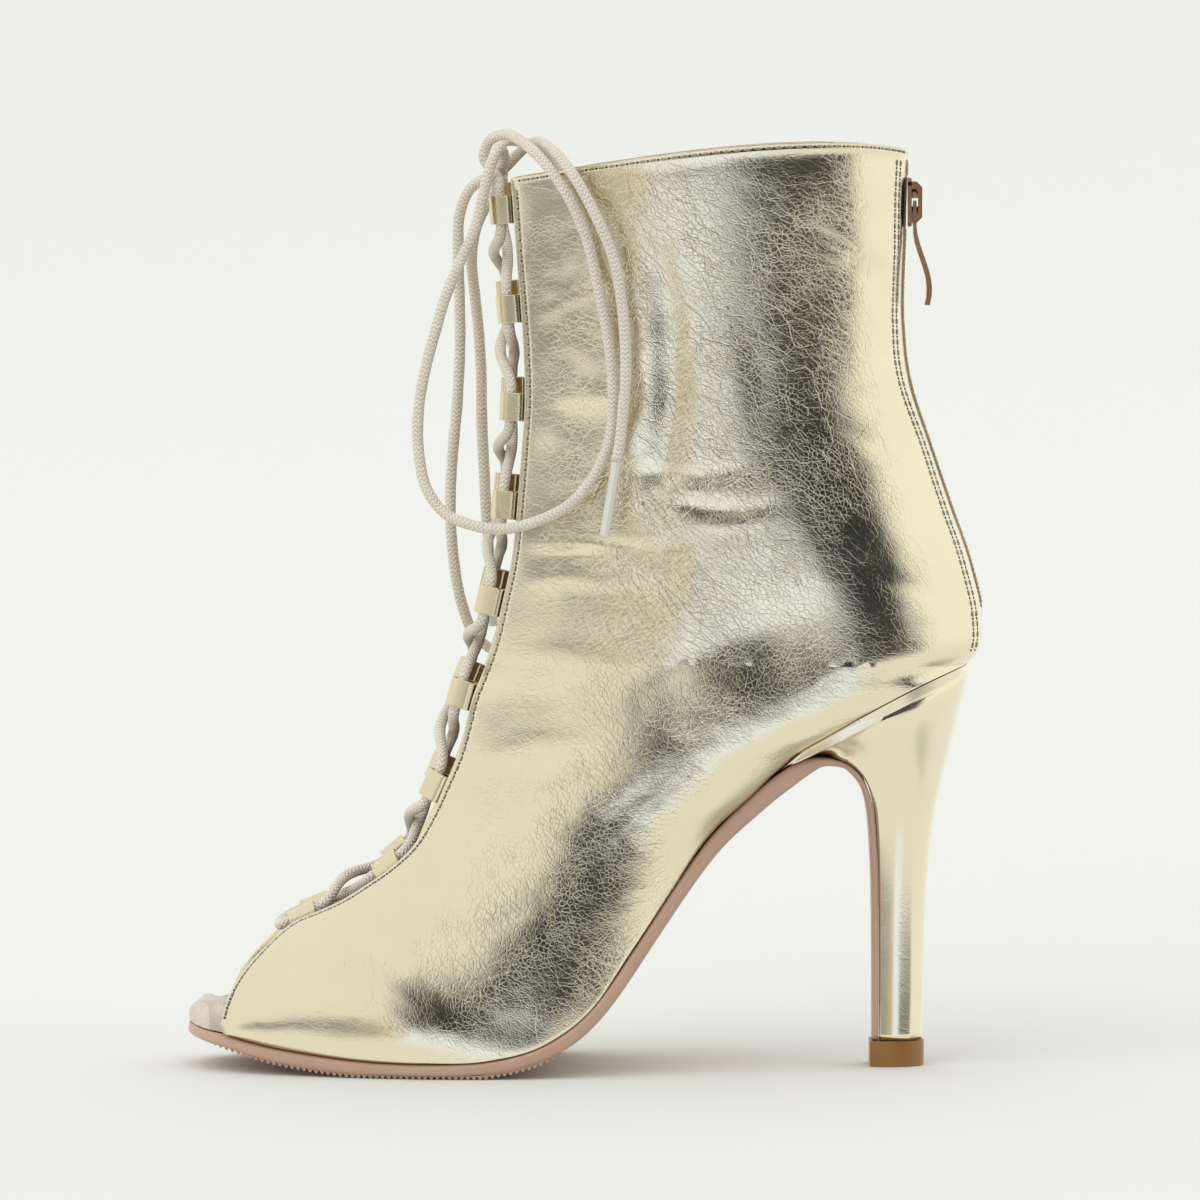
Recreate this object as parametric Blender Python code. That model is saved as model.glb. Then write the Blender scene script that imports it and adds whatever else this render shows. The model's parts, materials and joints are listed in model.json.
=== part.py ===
"""Lace-up peep-toe ankle boot on a stiletto heel, left foot.

Metres, +Z up. The toe points to -X, the outer side of the foot faces -Y, and the
origin is on the floor under the middle of the boot.
"""
import math
from collections import namedtuple

import bmesh
import bpy
import numpy as np
from mathutils import Vector

# Sizes of the last
LENGTH = 0.2110
MIDDLE = 0.4988
HEEL_HEIGHT = 0.1065
SHAFT_HEIGHT = 0.1385
BALL_WIDTH = 0.0780
SHAFT_WIDTH = 0.0590
SEAT_WIDTH = 0.0520
THROAT_GAP = 0.0330

# Sizes of the sheets
WALL = 0.0016
SOLE = 0.0045
SHANK = 0.0050
FLAP = 0.0017
SOLE_LIP = 0.0006
SOLE_ROUND = 0.0009
INSOLE_TOE = 0.0066
INSOLE_TUCK = 0.0014
INSOLE_HEEL = 0.0030
GAP = 0.0003

# How far the heel's tip stands out around the heel
TIP_LIP = 0.0006

# Sizes of the lacing
LOOP_COUNT = 9
LOOP_WIDTH = 0.0074
LOOP_REACH = 0.0078
LOOP_LEATHER = 0.0009
LOOP_TAB = 0.0030
LOOP_DEPTH = 0.0016
LOOP_SEAT = 0.0005
FIRST_LOOP = 0.0082
LAST_LOOP = 0.0055
LOOP_STAGGER = 0.0034
CORD = 0.0030
CORD_PLAY = 0.0006
CROSSING_BOW = 0.0008
BAR_SAG = 0.0026
LACE_PITCH = 0.0068
CORD_PITCH = 2.8
AGLET_LENGTH = 0.0195
AGLET = 0.0026

# Sizes of the zip
ZIP_CHAIN = 0.0038
ZIP_PROUD = 0.0004
ZIP_DEPTH = 0.0025
ZIP_TAPE = 0.0080
TAPE_SHEET = 0.0006
ZIP_TOP = 0.0025
ZIP_FOOT = 0.0006
SLIT_POINT = 0.0030
SLIDER_WIDTH = 0.0086
SLIDER_HEIGHT = 0.0130
SLIDER_PLATE = 0.0010
SLIDER_FROM_TOP = 0.0138
BAIL_WIDTH = 0.0022
BAIL_HOLE = 0.0018
BAIL_SHEET = 0.0011
BAIL_HALF = 0.0044
PULL_BAR = 0.0009
PULL_SHEET = 0.0014
PULL_ARM = 0.0009
PULL_WIDTH = 0.0042
PULL_LENGTH = 0.0272
PULL_SWAY = 0.0039

# Meshing
SHAFT_STEPS = 15
JOIN_STEPS = 3
FOOT_STEPS = 18
TURN_STEPS = 10
SOLE_STEPS = 30
SEAT_STEPS = 8
HEEL_STEPS = 18
RING_STEPS = 9
FULLNESS = 0.90
RISE_LEAN = 0.70

# Where the footbed ends at the back and how far its round end is drawn in, as
# shares of LENGTH
INSOLE_END = 0.957
INSOLE_BACK = 0.012

LATERAL = -1
MEDIAL = 1

# The sole's outline from toe to seat. "along" is a share of LENGTH from the toe,
# "top" a share of HEEL_HEIGHT, "sheet" a share of SOLE, the two sides are shares of
# BALL_WIDTH. Both ends are round, because the widths are read against the turn of a
# half circle.
SoleRow = namedtuple("SoleRow", "along top sheet lateral medial")
SOLE_ROWS = [
    SoleRow(0.000, 0.107, 0.58, -0.045, 0.060),
    SoleRow(0.020, 0.102, 0.66, 0.160, 0.238),
    SoleRow(0.049, 0.091, 0.80, 0.245, 0.304),
    SoleRow(0.102, 0.070, 0.95, 0.333, 0.385),
    SoleRow(0.155, 0.055, 1.00, 0.388, 0.434),
    SoleRow(0.224, 0.041, 1.00, 0.440, 0.472),
    SoleRow(0.299, 0.037, 1.00, 0.477, 0.489),
    SoleRow(0.381, 0.045, 1.00, 0.490, 0.477),
    SoleRow(0.454, 0.087, 0.95, 0.470, 0.440),
    SoleRow(0.513, 0.178, 0.86, 0.430, 0.388),
    SoleRow(0.557, 0.304, 0.84, 0.380, 0.333),
    SoleRow(0.604, 0.440, 0.84, 0.322, 0.278),
    SoleRow(0.651, 0.577, 0.93, 0.290, 0.256),
    SoleRow(0.708, 0.686, 1.09, 0.284, 0.262),
    SoleRow(0.755, 0.776, 1.15, 0.300, 0.288),
    SoleRow(0.808, 0.843, 1.15, 0.325, 0.317),
    SoleRow(0.866, 0.908, 1.15, 0.341, 0.336),
    SoleRow(0.921, 0.963, 1.15, 0.308, 0.306),
    SoleRow(0.955, 0.990, 1.15, 0.225, 0.225),
    SoleRow(0.982, 1.007, 1.15, 0.000, 0.000),
]

# Sections of the shaft, each from the back seam to the throat's edge. The x values
# are shares of LENGTH, the z values shares of SHAFT_HEIGHT above the seat. "widest"
# is the share of the section at which it is as wide as "width" of SHAFT_WIDTH.
ShaftRow = namedtuple("ShaftRow", "back_x back_z edge_x edge_z width widest gap rise")
SHAFT_ROWS = [
    ShaftRow(0.903, 0.986, 0.408, 0.933, 1.000, 0.50, 0.97, 0.030),
    ShaftRow(0.900, 0.829, 0.414, 0.796, 0.985, 0.50, 0.98, 0.014),
    ShaftRow(0.898, 0.658, 0.422, 0.644, 0.970, 0.49, 0.99, 0.004),
    ShaftRow(0.908, 0.538, 0.425, 0.511, 0.965, 0.47, 1.00, 0.000),
    ShaftRow(0.931, 0.431, 0.421, 0.416, 0.970, 0.44, 1.00, 0.000),
    ShaftRow(0.959, 0.306, 0.416, 0.321, 0.985, 0.40, 1.00, 0.000),
    ShaftRow(0.984, 0.196, 0.409, 0.214, 1.005, 0.36, 1.00, 0.000),
    ShaftRow(0.999, 0.086, 0.396, 0.121, 1.025, 0.32, 1.00, 0.000),
    ShaftRow(0.993, 0.024, 0.384, 0.045, 1.032, 0.30, 1.00, 0.000),
]
SLIT_END_ROW = 7

# Sections of the foot, each from the sole's outline at "along" up to the throat's
# edge. The edge is in shares of LENGTH and HEEL_HEIGHT, "swing" moves the throat
# toward the big toe, and it and the widths are shares of BALL_WIDTH.
FootRow = namedtuple("FootRow", "along edge_x edge_z lateral medial widest gap swing")
FOOT_ROWS = [
    FootRow(0.982, 0.378, 1.022, 0.391, 0.391, 0.29, 1.00, 0.000),
    FootRow(0.955, 0.371, 0.985, 0.392, 0.391, 0.28, 0.98, 0.000),
    FootRow(0.921, 0.361, 0.937, 0.393, 0.390, 0.28, 0.97, 0.000),
    FootRow(0.866, 0.352, 0.868, 0.394, 0.389, 0.29, 0.95, 0.000),
    FootRow(0.808, 0.340, 0.782, 0.395, 0.388, 0.31, 0.93, 0.000),
    FootRow(0.755, 0.325, 0.712, 0.398, 0.388, 0.34, 0.90, 0.000),
    FootRow(0.708, 0.310, 0.645, 0.404, 0.390, 0.36, 0.87, 0.002),
    FootRow(0.651, 0.286, 0.561, 0.415, 0.396, 0.37, 0.83, 0.005),
    FootRow(0.604, 0.256, 0.503, 0.431, 0.411, 0.35, 0.79, 0.009),
    FootRow(0.557, 0.222, 0.455, 0.451, 0.432, 0.31, 0.75, 0.012),
    FootRow(0.513, 0.192, 0.418, 0.471, 0.456, 0.26, 0.72, 0.015),
    FootRow(0.454, 0.161, 0.390, 0.490, 0.478, 0.21, 0.70, 0.018),
    FootRow(0.381, 0.139, 0.372, 0.501, 0.494, 0.18, 0.70, 0.020),
    FootRow(0.299, 0.117, 0.340, 0.489, 0.500, 0.17, 0.71, 0.020),
    FootRow(0.224, 0.096, 0.300, 0.455, 0.485, 0.17, 0.76, 0.022),
    FootRow(0.155, 0.075, 0.254, 0.404, 0.450, 0.17, 0.87, 0.025),
    FootRow(0.102, 0.059, 0.207, 0.352, 0.402, 0.17, 1.03, 0.027),
    FootRow(0.067, 0.049, 0.159, 0.303, 0.355, 0.17, 1.22, 0.028),
    FootRow(0.049, 0.045, 0.122, 0.270, 0.326, 0.17, 1.31, 0.028),
]
SEAT_SIDE_ROW = 3
THROAT_END_ROW = 12

# Rings of the heel from under the seat to its foot. The places are shares of LENGTH
# and HEEL_HEIGHT, the widths of the breast and of the ring shares of SEAT_WIDTH.
HeelRow = namedtuple("HeelRow", "front_x front_z back_x back_z breast width sheet")
HEEL_ROWS = [
    HeelRow(0.724, 0.7155, 0.9820, 0.9990, 0.850, 1.000, 1.00),
    HeelRow(0.771, 0.782, 0.9845, 0.9840, 0.860, 0.985, 0.85),
    HeelRow(0.803, 0.785, 0.9805, 0.9560, 0.760, 0.940, 0.12),
    HeelRow(0.833, 0.766, 0.9755, 0.9160, 0.640, 0.850, 0.00),
    HeelRow(0.851, 0.727, 0.9690, 0.8690, 0.510, 0.720, 0.00),
    HeelRow(0.862, 0.668, 0.9610, 0.8060, 0.405, 0.580, 0.00),
    HeelRow(0.866, 0.592, 0.9510, 0.7290, 0.325, 0.465, 0.00),
    HeelRow(0.869, 0.482, 0.9385, 0.6100, 0.275, 0.370, 0.00),
    HeelRow(0.870, 0.340, 0.9305, 0.4400, 0.240, 0.300, 0.00),
    HeelRow(0.8705, 0.196, 0.9270, 0.2200, 0.220, 0.262, 0.00),
    HeelRow(0.8705, 0.067, 0.9246, 0.0670, 0.210, 0.250, 0.00),
]

# Routes of the bow's cords, in metres: across, depth, height.
BOW_NEAR = [
    (-0.0212, -0.0060, 0.2400), (-0.0212, -0.0082, 0.2421), (-0.0223, -0.0110, 0.2433),
    (-0.0241, -0.0129, 0.2404), (-0.0256, -0.0138, 0.2354), (-0.0271, -0.0144, 0.2288),
    (-0.0290, -0.0149, 0.2215), (-0.0325, -0.0154, 0.2140), (-0.0366, -0.0161, 0.2040),
    (-0.0391, -0.0168, 0.1955),
    (-0.0415, -0.0175, 0.1865), (-0.0436, -0.0180, 0.1740), (-0.0434, -0.0185, 0.1630),
    (-0.0413, -0.0200, 0.1540), (-0.0373, -0.0222, 0.1485), (-0.0305, -0.0260, 0.1452),
    (-0.0210, -0.0282, 0.1440), (-0.0120, -0.0300, 0.1462), (-0.0045, -0.0310, 0.1500),
    (0.0020, -0.0320, 0.1570), (0.0062, -0.0324, 0.1660), (0.0076, -0.0326, 0.1780),
    (0.0066, -0.0326, 0.1915), (0.0040, -0.0322, 0.2060), (0.0000, -0.0312, 0.2220),
    (-0.0050, -0.0300, 0.2325), (-0.0105, -0.0262, 0.2400), (-0.0163, -0.0170, 0.2452),
    (-0.0213, -0.0080, 0.2472), (-0.0254, -0.0032, 0.2450), (-0.0264, -0.0018, 0.2406),
]
END_NEAR = [
    (-0.0205, -0.0014, 0.2388), (-0.0178, -0.0023, 0.2417), (-0.0130, -0.0110, 0.2452),
    (-0.0086, -0.0226, 0.2434), (-0.0022, -0.0320, 0.2357), (0.0030, -0.0346, 0.2262),
    (0.0074, -0.0352, 0.2160), (0.0098, -0.0354, 0.2040), (0.0108, -0.0356, 0.1925),
    (0.0109, -0.0356, 0.1830), (0.0102, -0.0354, 0.1750), (0.0094, -0.0352, 0.1670),
    (0.0086, -0.0352, 0.1621),
]
BOW_FAR = [
    (-0.0265, 0.0009, 0.2353), (-0.0295, 0.0030, 0.2335), (-0.0328, 0.0062, 0.2270),
    (-0.0335, 0.0090, 0.2160), (-0.0332, 0.0115, 0.2040), (-0.0331, 0.0135, 0.1920),
    (-0.0338, 0.0150, 0.1770), (-0.0352, 0.0160, 0.1610), (-0.0358, 0.0170, 0.1500),
    (-0.0352, 0.0190, 0.1360), (-0.0328, 0.0230, 0.1215), (-0.0300, 0.0265, 0.1140),
    (-0.0240, 0.0310, 0.1085), (-0.0160, 0.0342, 0.1080), (-0.0085, 0.0350, 0.1130),
    (-0.0030, 0.0350, 0.1230), (0.0010, 0.0346, 0.1370), (0.0030, 0.0342, 0.1530),
    (0.0035, 0.0338, 0.1700), (0.0030, 0.0335, 0.1870), (0.0015, 0.0333, 0.2040),
    (-0.0010, 0.0328, 0.2200), (-0.0050, 0.0315, 0.2330), (-0.0100, 0.0270, 0.2410),
    (-0.0165, 0.0180, 0.2450), (-0.0216, 0.0085, 0.2449), (-0.0237, 0.0016, 0.2400),
]
END_FAR = [
    (-0.0238, -0.0004, 0.2325), (-0.0254, 0.0018, 0.2295), (-0.0288, 0.0085, 0.2220),
    (-0.0300, 0.0155, 0.2130), (-0.0292, 0.0200, 0.2040), (-0.0282, 0.0215, 0.1940),
    (-0.0276, 0.0215, 0.1840),
    (-0.0274, 0.0218, 0.1700), (-0.0268, 0.0224, 0.1570), (-0.0262, 0.0236, 0.1450),
    (-0.0256, 0.0250, 0.1350),
]
KNOT_PLACE = (-0.0232, -0.0010, 0.2365)
KNOT_SIZE = (0.0062, 0.0078, 0.0066)


def clear_scene():
    for old in list(bpy.data.objects):
        bpy.data.objects.remove(old, do_unlink=True)


def at_x(share):
    return (share - MIDDLE) * LENGTH


def at_z(share):
    return share * HEEL_HEIGHT


def on_shaft(share):
    return HEEL_HEIGHT + share * SHAFT_HEIGHT


def material(name, colour, roughness, metallic=0.0):
    made = bpy.data.materials.new(name)
    made.use_nodes = True
    shader = made.node_tree.nodes["Principled BSDF"]
    shader.inputs["Base Color"].default_value = (*colour, 1.0)
    shader.inputs["Roughness"].default_value = roughness
    shader.inputs["Metallic"].default_value = metallic
    made.diffuse_color = (*colour, 1.0)
    return made


def place(name, mesh, made_of):
    """Puts a mesh in the scene as one named piece."""
    mesh.materials.append(made_of)
    piece = bpy.data.objects.new(name, mesh)
    bpy.context.scene.collection.objects.link(piece)
    return piece


def finish(name, shape, made_of):
    """Turns a closed bmesh into a smooth-shaded piece."""
    bmesh.ops.recalc_face_normals(shape, faces=shape.faces)
    if shape.calc_volume(signed=True) < 0:
        bmesh.ops.reverse_faces(shape, faces=shape.faces)
    mesh = bpy.data.meshes.new(name)
    shape.to_mesh(mesh)
    shape.free()
    mesh.shade_smooth()
    mesh.set_sharp_from_angle(angle=math.radians(40))
    return place(name, mesh, made_of)


def along_curve(points, where=None, count=None):
    """Reads a smooth curve through points, by shares of its length.

    With where, the shares are given; with count, they are even.
    """
    points = np.asarray(points, float)
    steps = np.linalg.norm(np.diff(points[:, :3], axis=0), axis=1)
    stops = np.concatenate([[0.0], np.cumsum(steps)])
    slopes = np.gradient(points, stops, axis=0)
    wanted = np.linspace(0.0, 1.0, count) if where is None else np.asarray(where)
    wanted = wanted * stops[-1]
    index = np.clip(np.searchsorted(stops, wanted, side="right") - 1, 0, len(stops) - 2)
    span = stops[index + 1] - stops[index]
    share = ((wanted - stops[index]) / span)[:, None]
    span = span[:, None]
    near, far = points[index], points[index + 1]
    near_slope, far_slope = slopes[index] * span, slopes[index + 1] * span
    return (near * (2 * share**3 - 3 * share**2 + 1) + near_slope * (share**3 - 2 * share**2 + share)
            + far * (3 * share**2 - 2 * share**3) + far_slope * (share**3 - share**2))


def read_table(stops, column, key):
    """Reads a smooth value from a column whose stops rise."""
    slopes = np.gradient(column, stops)
    index = min(max(int(np.searchsorted(stops, key, side="right")) - 1, 0), len(stops) - 2)
    span = stops[index + 1] - stops[index]
    share = min(max((key - stops[index]) / span, 0.0), 1.0)
    return float(column[index] * (2 * share**3 - 3 * share**2 + 1)
                 + slopes[index] * span * (share**3 - 2 * share**2 + share)
                 + column[index + 1] * (3 * share**2 - 2 * share**3)
                 + slopes[index + 1] * span * (share**3 - share**2))


def sole_top(along):
    stops = [row.along for row in SOLE_ROWS]
    return at_z(read_table(stops, [row.top for row in SOLE_ROWS], along))


def sole_sheet(along):
    stops = [row.along for row in SOLE_ROWS]
    return SOLE * read_table(stops, [row.sheet for row in SOLE_ROWS], along)


def sole_clear(along):
    """Height above the sole's top that leaves the gap square to its slope."""
    slope = (sole_top(along + 0.004) - sole_top(along - 0.004)) / (0.008 * LENGTH)
    return sole_top(along) + GAP * math.sqrt(1 + slope * slope)


def sole_turn(along):
    """Where a place along the sole lies on a half circle over it, which rounds both ends."""
    share = min(max(along / SOLE_ROWS[-1].along, 0.0), 1.0)
    return math.acos(1 - 2 * share)


def sole_half(along, side):
    """Half width of the sole's outline on one side."""
    stops = [sole_turn(row.along) for row in SOLE_ROWS]
    column = [row.lateral if side == LATERAL else row.medial for row in SOLE_ROWS]
    return BALL_WIDTH * read_table(stops, column, sole_turn(along))


def sole_shares(end):
    """Places along the sole for its rings, closer together at the toe."""
    wedge = HEEL_ROWS[0].front_x
    shares = [wedge * (step / SOLE_STEPS) ** 1.4 for step in range(SOLE_STEPS + 1)]
    if end > wedge:
        shares += [wedge + (end - wedge) * math.sin(math.pi / 2 * step / SEAT_STEPS)
                   for step in range(1, SEAT_STEPS + 1)]
    return shares


Section = namedtuple("Section", "foot_x foot_z edge_x edge_z lateral medial widest "
                                "foot_lateral foot_medial gap swing rise")


def upper_sections():
    """Sections of the upper from the collar to the toe, in metres."""
    rows = []
    for row in SHAFT_ROWS:
        half = row.width * SHAFT_WIDTH / 2
        rows.append(Section(at_x(row.back_x), on_shaft(row.back_z), at_x(row.edge_x),
                            on_shaft(row.edge_z), half, half, row.widest, 0.0, 0.0,
                            row.gap * THROAT_GAP / 2, 0.0, row.rise * SHAFT_HEIGHT))
    for row in FOOT_ROWS:
        rows.append(Section(at_x(row.along), sole_clear(row.along), at_x(row.edge_x),
                            at_z(row.edge_z), row.lateral * BALL_WIDTH,
                            row.medial * BALL_WIDTH, row.widest, 0.0, 0.0,
                            row.gap * THROAT_GAP / 2, row.swing * BALL_WIDTH, 0.0))
    table = np.array(rows)
    steps = (np.linalg.norm(np.diff(table[:, 0:2], axis=0), axis=1)
             + np.linalg.norm(np.diff(table[:, 2:4], axis=0), axis=1))
    stops = np.concatenate([[0.0], np.cumsum(steps)])
    slopes = np.gradient(table, stops, axis=0)
    slit_end = stops[SLIT_END_ROW]
    seat_back = stops[len(SHAFT_ROWS)]
    throat_end = stops[len(SHAFT_ROWS) + THROAT_END_ROW]
    seat_side = stops[len(SHAFT_ROWS) + SEAT_SIDE_ROW]
    round_the_seat = (np.arange(1, SEAT_STEPS + 1) / SEAT_STEPS) ** 1.9
    wanted = np.concatenate([
        np.linspace(0.0, slit_end - 2 * SLIT_POINT, SHAFT_STEPS + 1),
        np.linspace(slit_end, seat_back, JOIN_STEPS + 1),
        seat_back + (seat_side - seat_back) * round_the_seat,
        np.linspace(seat_side, stops[-1], FOOT_STEPS + 1)[1:]])
    sections = []
    for want in wanted:
        index = min(max(int(np.searchsorted(stops, want, side="right")) - 1, 0), len(stops) - 2)
        span = stops[index + 1] - stops[index]
        share = (want - stops[index]) / span
        values = (table[index] * (2 * share**3 - 3 * share**2 + 1)
                  + slopes[index] * span * (share**3 - 2 * share**2 + share)
                  + table[index + 1] * (3 * share**2 - 2 * share**3)
                  + slopes[index + 1] * span * (share**3 - share**2))
        section = Section(*values)
        if want < slit_end:
            slit = ZIP_CHAIN / 2 + 2 * GAP
            section = section._replace(foot_lateral=slit, foot_medial=slit)
        elif want <= seat_back:
            section = section._replace(foot_lateral=0.0, foot_medial=0.0)
        else:
            along = section.foot_x / LENGTH + MIDDLE
            section = section._replace(foot_z=sole_clear(along),
                                       foot_lateral=sole_half(along, LATERAL),
                                       foot_medial=sole_half(along, MEDIAL))
        sections.append(section)
    return sections, float(np.searchsorted(wanted, throat_end))


def section_point(section, side, turn):
    """A point of a section, from its foot at turn 0 to the throat's edge at turn 1."""
    wide = section.lateral if side == LATERAL else section.medial
    foot = section.foot_lateral if side == LATERAL else section.foot_medial
    edge = section.gap + side * section.swing
    start = math.asin(min(max(foot / wide, 0.0), 0.995) ** (1 / FULLNESS))
    end = math.pi - math.asin(min(edge / wide, 1.0) ** (1 / FULLNESS))
    angle = start + (end - start) * turn
    if angle < math.pi / 2:
        share = section.widest * (1 - math.cos(angle) / math.cos(start))
    else:
        share = section.widest + (1 - section.widest) * math.cos(angle) / math.cos(end)
    across = section.foot_x + (section.edge_x - section.foot_x) * share
    height = section.foot_z + (section.edge_z - section.foot_z) * share
    height += section.rise * math.sin(math.pi * share**RISE_LEAN)
    return Vector((across, side * wide * math.sin(angle) ** FULLNESS, height))


def skin(shape, chains, closed):
    """Extrudes the first chain of points through all the others."""
    verts = [shape.verts.new(point) for point in chains[0]]
    pairs = list(zip(verts, verts[1:])) + ([(verts[-1], verts[0])] if closed else [])
    edges = [shape.edges.new(pair) for pair in pairs]
    first = list(verts)
    for chain in chains[1:]:
        grown = bmesh.ops.extrude_edge_only(shape, edges=edges)["geom"]
        fresh = {item for item in grown if isinstance(item, bmesh.types.BMVert)}
        moved = []
        for vert, point in zip(verts, chain):
            twin = next(edge.other_vert(vert) for edge in vert.link_edges
                        if edge.other_vert(vert) in fresh)
            twin.co = point
            moved.append(twin)
        verts = moved
        pairs = list(zip(verts, verts[1:])) + ([(verts[-1], verts[0])] if closed else [])
        edges = [shape.edges.get(pair) for pair in pairs]
    return first, verts


def loft(name, rings, made_of):
    """A closed piece through rings of points, flat at both ends."""
    shape = bmesh.new()
    first, last = skin(shape, rings, closed=True)
    shape.faces.new(first)
    shape.faces.new(last)
    return finish(name, shape, made_of)


def wall_turns():
    """Turns of a section at which the wall has its points, closer together at its foot."""
    return [(step / TURN_STEPS) ** 1.3 for step in range(TURN_STEPS + 1)]


def make_upper(sections, made_of):
    """The upper: one wall, open at the collar, the throat, the toe and the zip."""
    shape = bmesh.new()
    turns = wall_turns()
    for side in (LATERAL, MEDIAL):
        chains = [[section_point(section, side, turn) for turn in turns] for section in sections]
        skin(shape, chains, closed=False)
    bmesh.ops.remove_doubles(shape, verts=shape.verts, dist=1e-6)
    bmesh.ops.recalc_face_normals(shape, faces=shape.faces)
    middle = min(shape.faces, key=lambda face: face.calc_center_median().y)
    if middle.normal.y > 0:
        bmesh.ops.reverse_faces(shape, faces=shape.faces)
    mesh = bpy.data.meshes.new("upper")
    shape.to_mesh(mesh)
    shape.free()
    mesh.shade_smooth()
    piece = place("upper", mesh, made_of)
    wall = piece.modifiers.new("wall", "SOLIDIFY")
    wall.thickness = WALL
    wall.offset = -1.0
    wall.use_even_offset = True
    wall.use_rim = True
    return piece


def breast_rings():
    """Rows of the heel read smoothly from the wedge to its foot, in metres."""
    rows = [(at_x(row.front_x), at_z(row.front_z), 0.0, at_x(row.back_x), at_z(row.back_z),
             row.breast * SEAT_WIDTH / 2, row.width * SEAT_WIDTH / 2,
             FLAP + (SHANK - FLAP) * row.sheet) for row in HEEL_ROWS]
    return along_curve(rows, count=HEEL_STEPS)


def outsole_stations():
    """Top point, thickness and half widths along the outsole and its flap."""
    stations = []
    for share in sole_shares(0.0):
        lip = SOLE_LIP * min(1.0, max(0.0, (0.60 - share) / 0.15))
        stations.append((at_x(share), sole_top(share), sole_sheet(share),
                         sole_half(share, LATERAL) + lip, sole_half(share, MEDIAL) + lip))
    rings = breast_rings()
    runs = np.gradient(rings[:, :2], axis=0)
    for ring, run in zip(rings[1:], runs[1:]):
        run = run / np.linalg.norm(run)
        stations.append((ring[0] + run[1] * GAP, ring[1] - run[0] * GAP, ring[7], ring[5], ring[5]))
    return stations


def make_outsole(made_of):
    """The outsole, flat where it stands, with the flap that covers the heel's breast."""
    stations = outsole_stations()
    path = np.array([(x, z) for x, z, *_ in stations])
    runs = np.gradient(path, axis=0)
    rings = []
    for (x, z, thick, outer, inner), run in zip(stations, runs):
        run = run / np.linalg.norm(run)
        down = np.array([run[1], -run[0]])
        corner = min(SOLE_ROUND, thick * 0.45)

        def spot(half, depth, x=x, z=z, down=down):
            return Vector((x + down[0] * depth, half, max(0.0, z + down[1] * depth)))

        rings.append([
            spot(-outer, 0.0), spot(-outer, thick - corner), spot(-outer + corner, thick),
            spot(inner - corner, thick), spot(inner, thick - corner), spot(inner, 0.0)])
    return loft("outsole", rings, made_of)


def make_insole(made_of):
    """The covered footbed, flush with the sole at the open toe and inside the upper behind it."""
    toe_end = FOOT_ROWS[-1].along
    rings = []
    for share in sole_shares(INSOLE_END):
        tuck = min(1.0, max(0.0, (share - toe_end * 0.62) / (toe_end * 0.25)))
        inset = tuck * (WALL + INSOLE_TUCK)
        thick = INSOLE_TOE + (INSOLE_HEEL - INSOLE_TOE) * min(1.0, max(0.0, (share - 0.3) / 0.35))
        low = sole_clear(share)
        slope = (sole_top(share + 0.004) - sole_top(share - 0.004)) / (0.008 * LENGTH)
        tall = thick * math.sqrt(1 + slope * slope)
        shift = share + INSOLE_BACK * min(1.0, max(0.0, (share - 0.8) / 0.1))
        outer = sole_half(shift, LATERAL) - inset
        inner = sole_half(shift, MEDIAL) - inset
        reach = at_x(share)
        corner = min(thick * 0.35, (outer + inner) * 0.3)
        rings.append([
            Vector((reach, -outer, low)), Vector((reach, -outer, low + tall - corner)),
            Vector((reach, -outer + corner, low + tall)), Vector((reach, inner - corner, low + tall)),
            Vector((reach, inner, low + tall - corner)), Vector((reach, inner, low))])
    return loft("insole", rings, made_of)


def d_ring(front, back, breast, half, count):
    """A ring with a flat front and a round back, drawn from the front's outer corner."""
    points = []
    shares = [math.sin(math.pi / 2 * step / count) for step in range(count + 1)]
    widest = 0.40
    for share in shares:
        if share < widest:
            width = breast + (half - breast) * math.sin(math.pi / 2 * share / widest)
        else:
            width = half * math.sqrt(max(0.0, 1 - ((share - widest) / (1 - widest)) ** 2))
        points.append((front[0] + (back[0] - front[0]) * share, width,
                       front[1] + (back[1] - front[1]) * share))
    outer = [Vector((x, -width, z)) for x, width, z in points]
    inner = [Vector((x, width, z)) for x, width, z in reversed(points[:-1])]
    return outer + inner


def make_heel(made_of):
    """The covered stiletto heel; its top follows the seat, its front the flap."""
    rings_read = breast_rings()
    first = HEEL_ROWS[0].front_x + 2 * GAP / LENGTH
    last = HEEL_ROWS[0].back_x
    outer, inner = [], []
    for step in range(RING_STEPS + 1):
        share = first + (last - first) * math.sin(math.pi / 2 * step / RING_STEPS)
        spot = (at_x(share), sole_top(share))
        outer.append(Vector((spot[0], -sole_half(share, LATERAL), spot[1])))
        inner.append(Vector((spot[0], sole_half(share, MEDIAL), spot[1])))
    outer[-1].y = 0.0
    rings = [outer + list(reversed(inner[:-1]))]
    for front_x, front_z, _, back_x, back_z, breast, half, _ in rings_read[1:]:
        rings.append(d_ring((front_x, front_z), (back_x, back_z), breast, half, RING_STEPS))
    shape = bmesh.new()
    top, foot = skin(shape, rings, closed=True)
    shape.faces.new(foot)
    for step in range(RING_STEPS - 1):
        shape.faces.new((top[step], top[step + 1], top[-step - 2], top[-step - 1]))
    shape.faces.new((top[RING_STEPS - 1], top[RING_STEPS], top[RING_STEPS + 1]))
    return finish("heel", shape, made_of)


def make_heel_tip(made_of):
    """The top piece that the heel stands on."""
    row = HEEL_ROWS[-1]
    front = at_x(row.front_x) - FLAP - GAP - TIP_LIP
    back = at_x(row.back_x) + TIP_LIP
    breast = row.breast * SEAT_WIDTH / 2 + TIP_LIP
    half = row.width * SEAT_WIDTH / 2 + TIP_LIP
    rings = [d_ring((front, height), (back, height), breast, half, RING_STEPS)
             for height in (0.0, at_z(row.front_z) - GAP)]
    return loft("heel_tip", rings, made_of)


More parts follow.
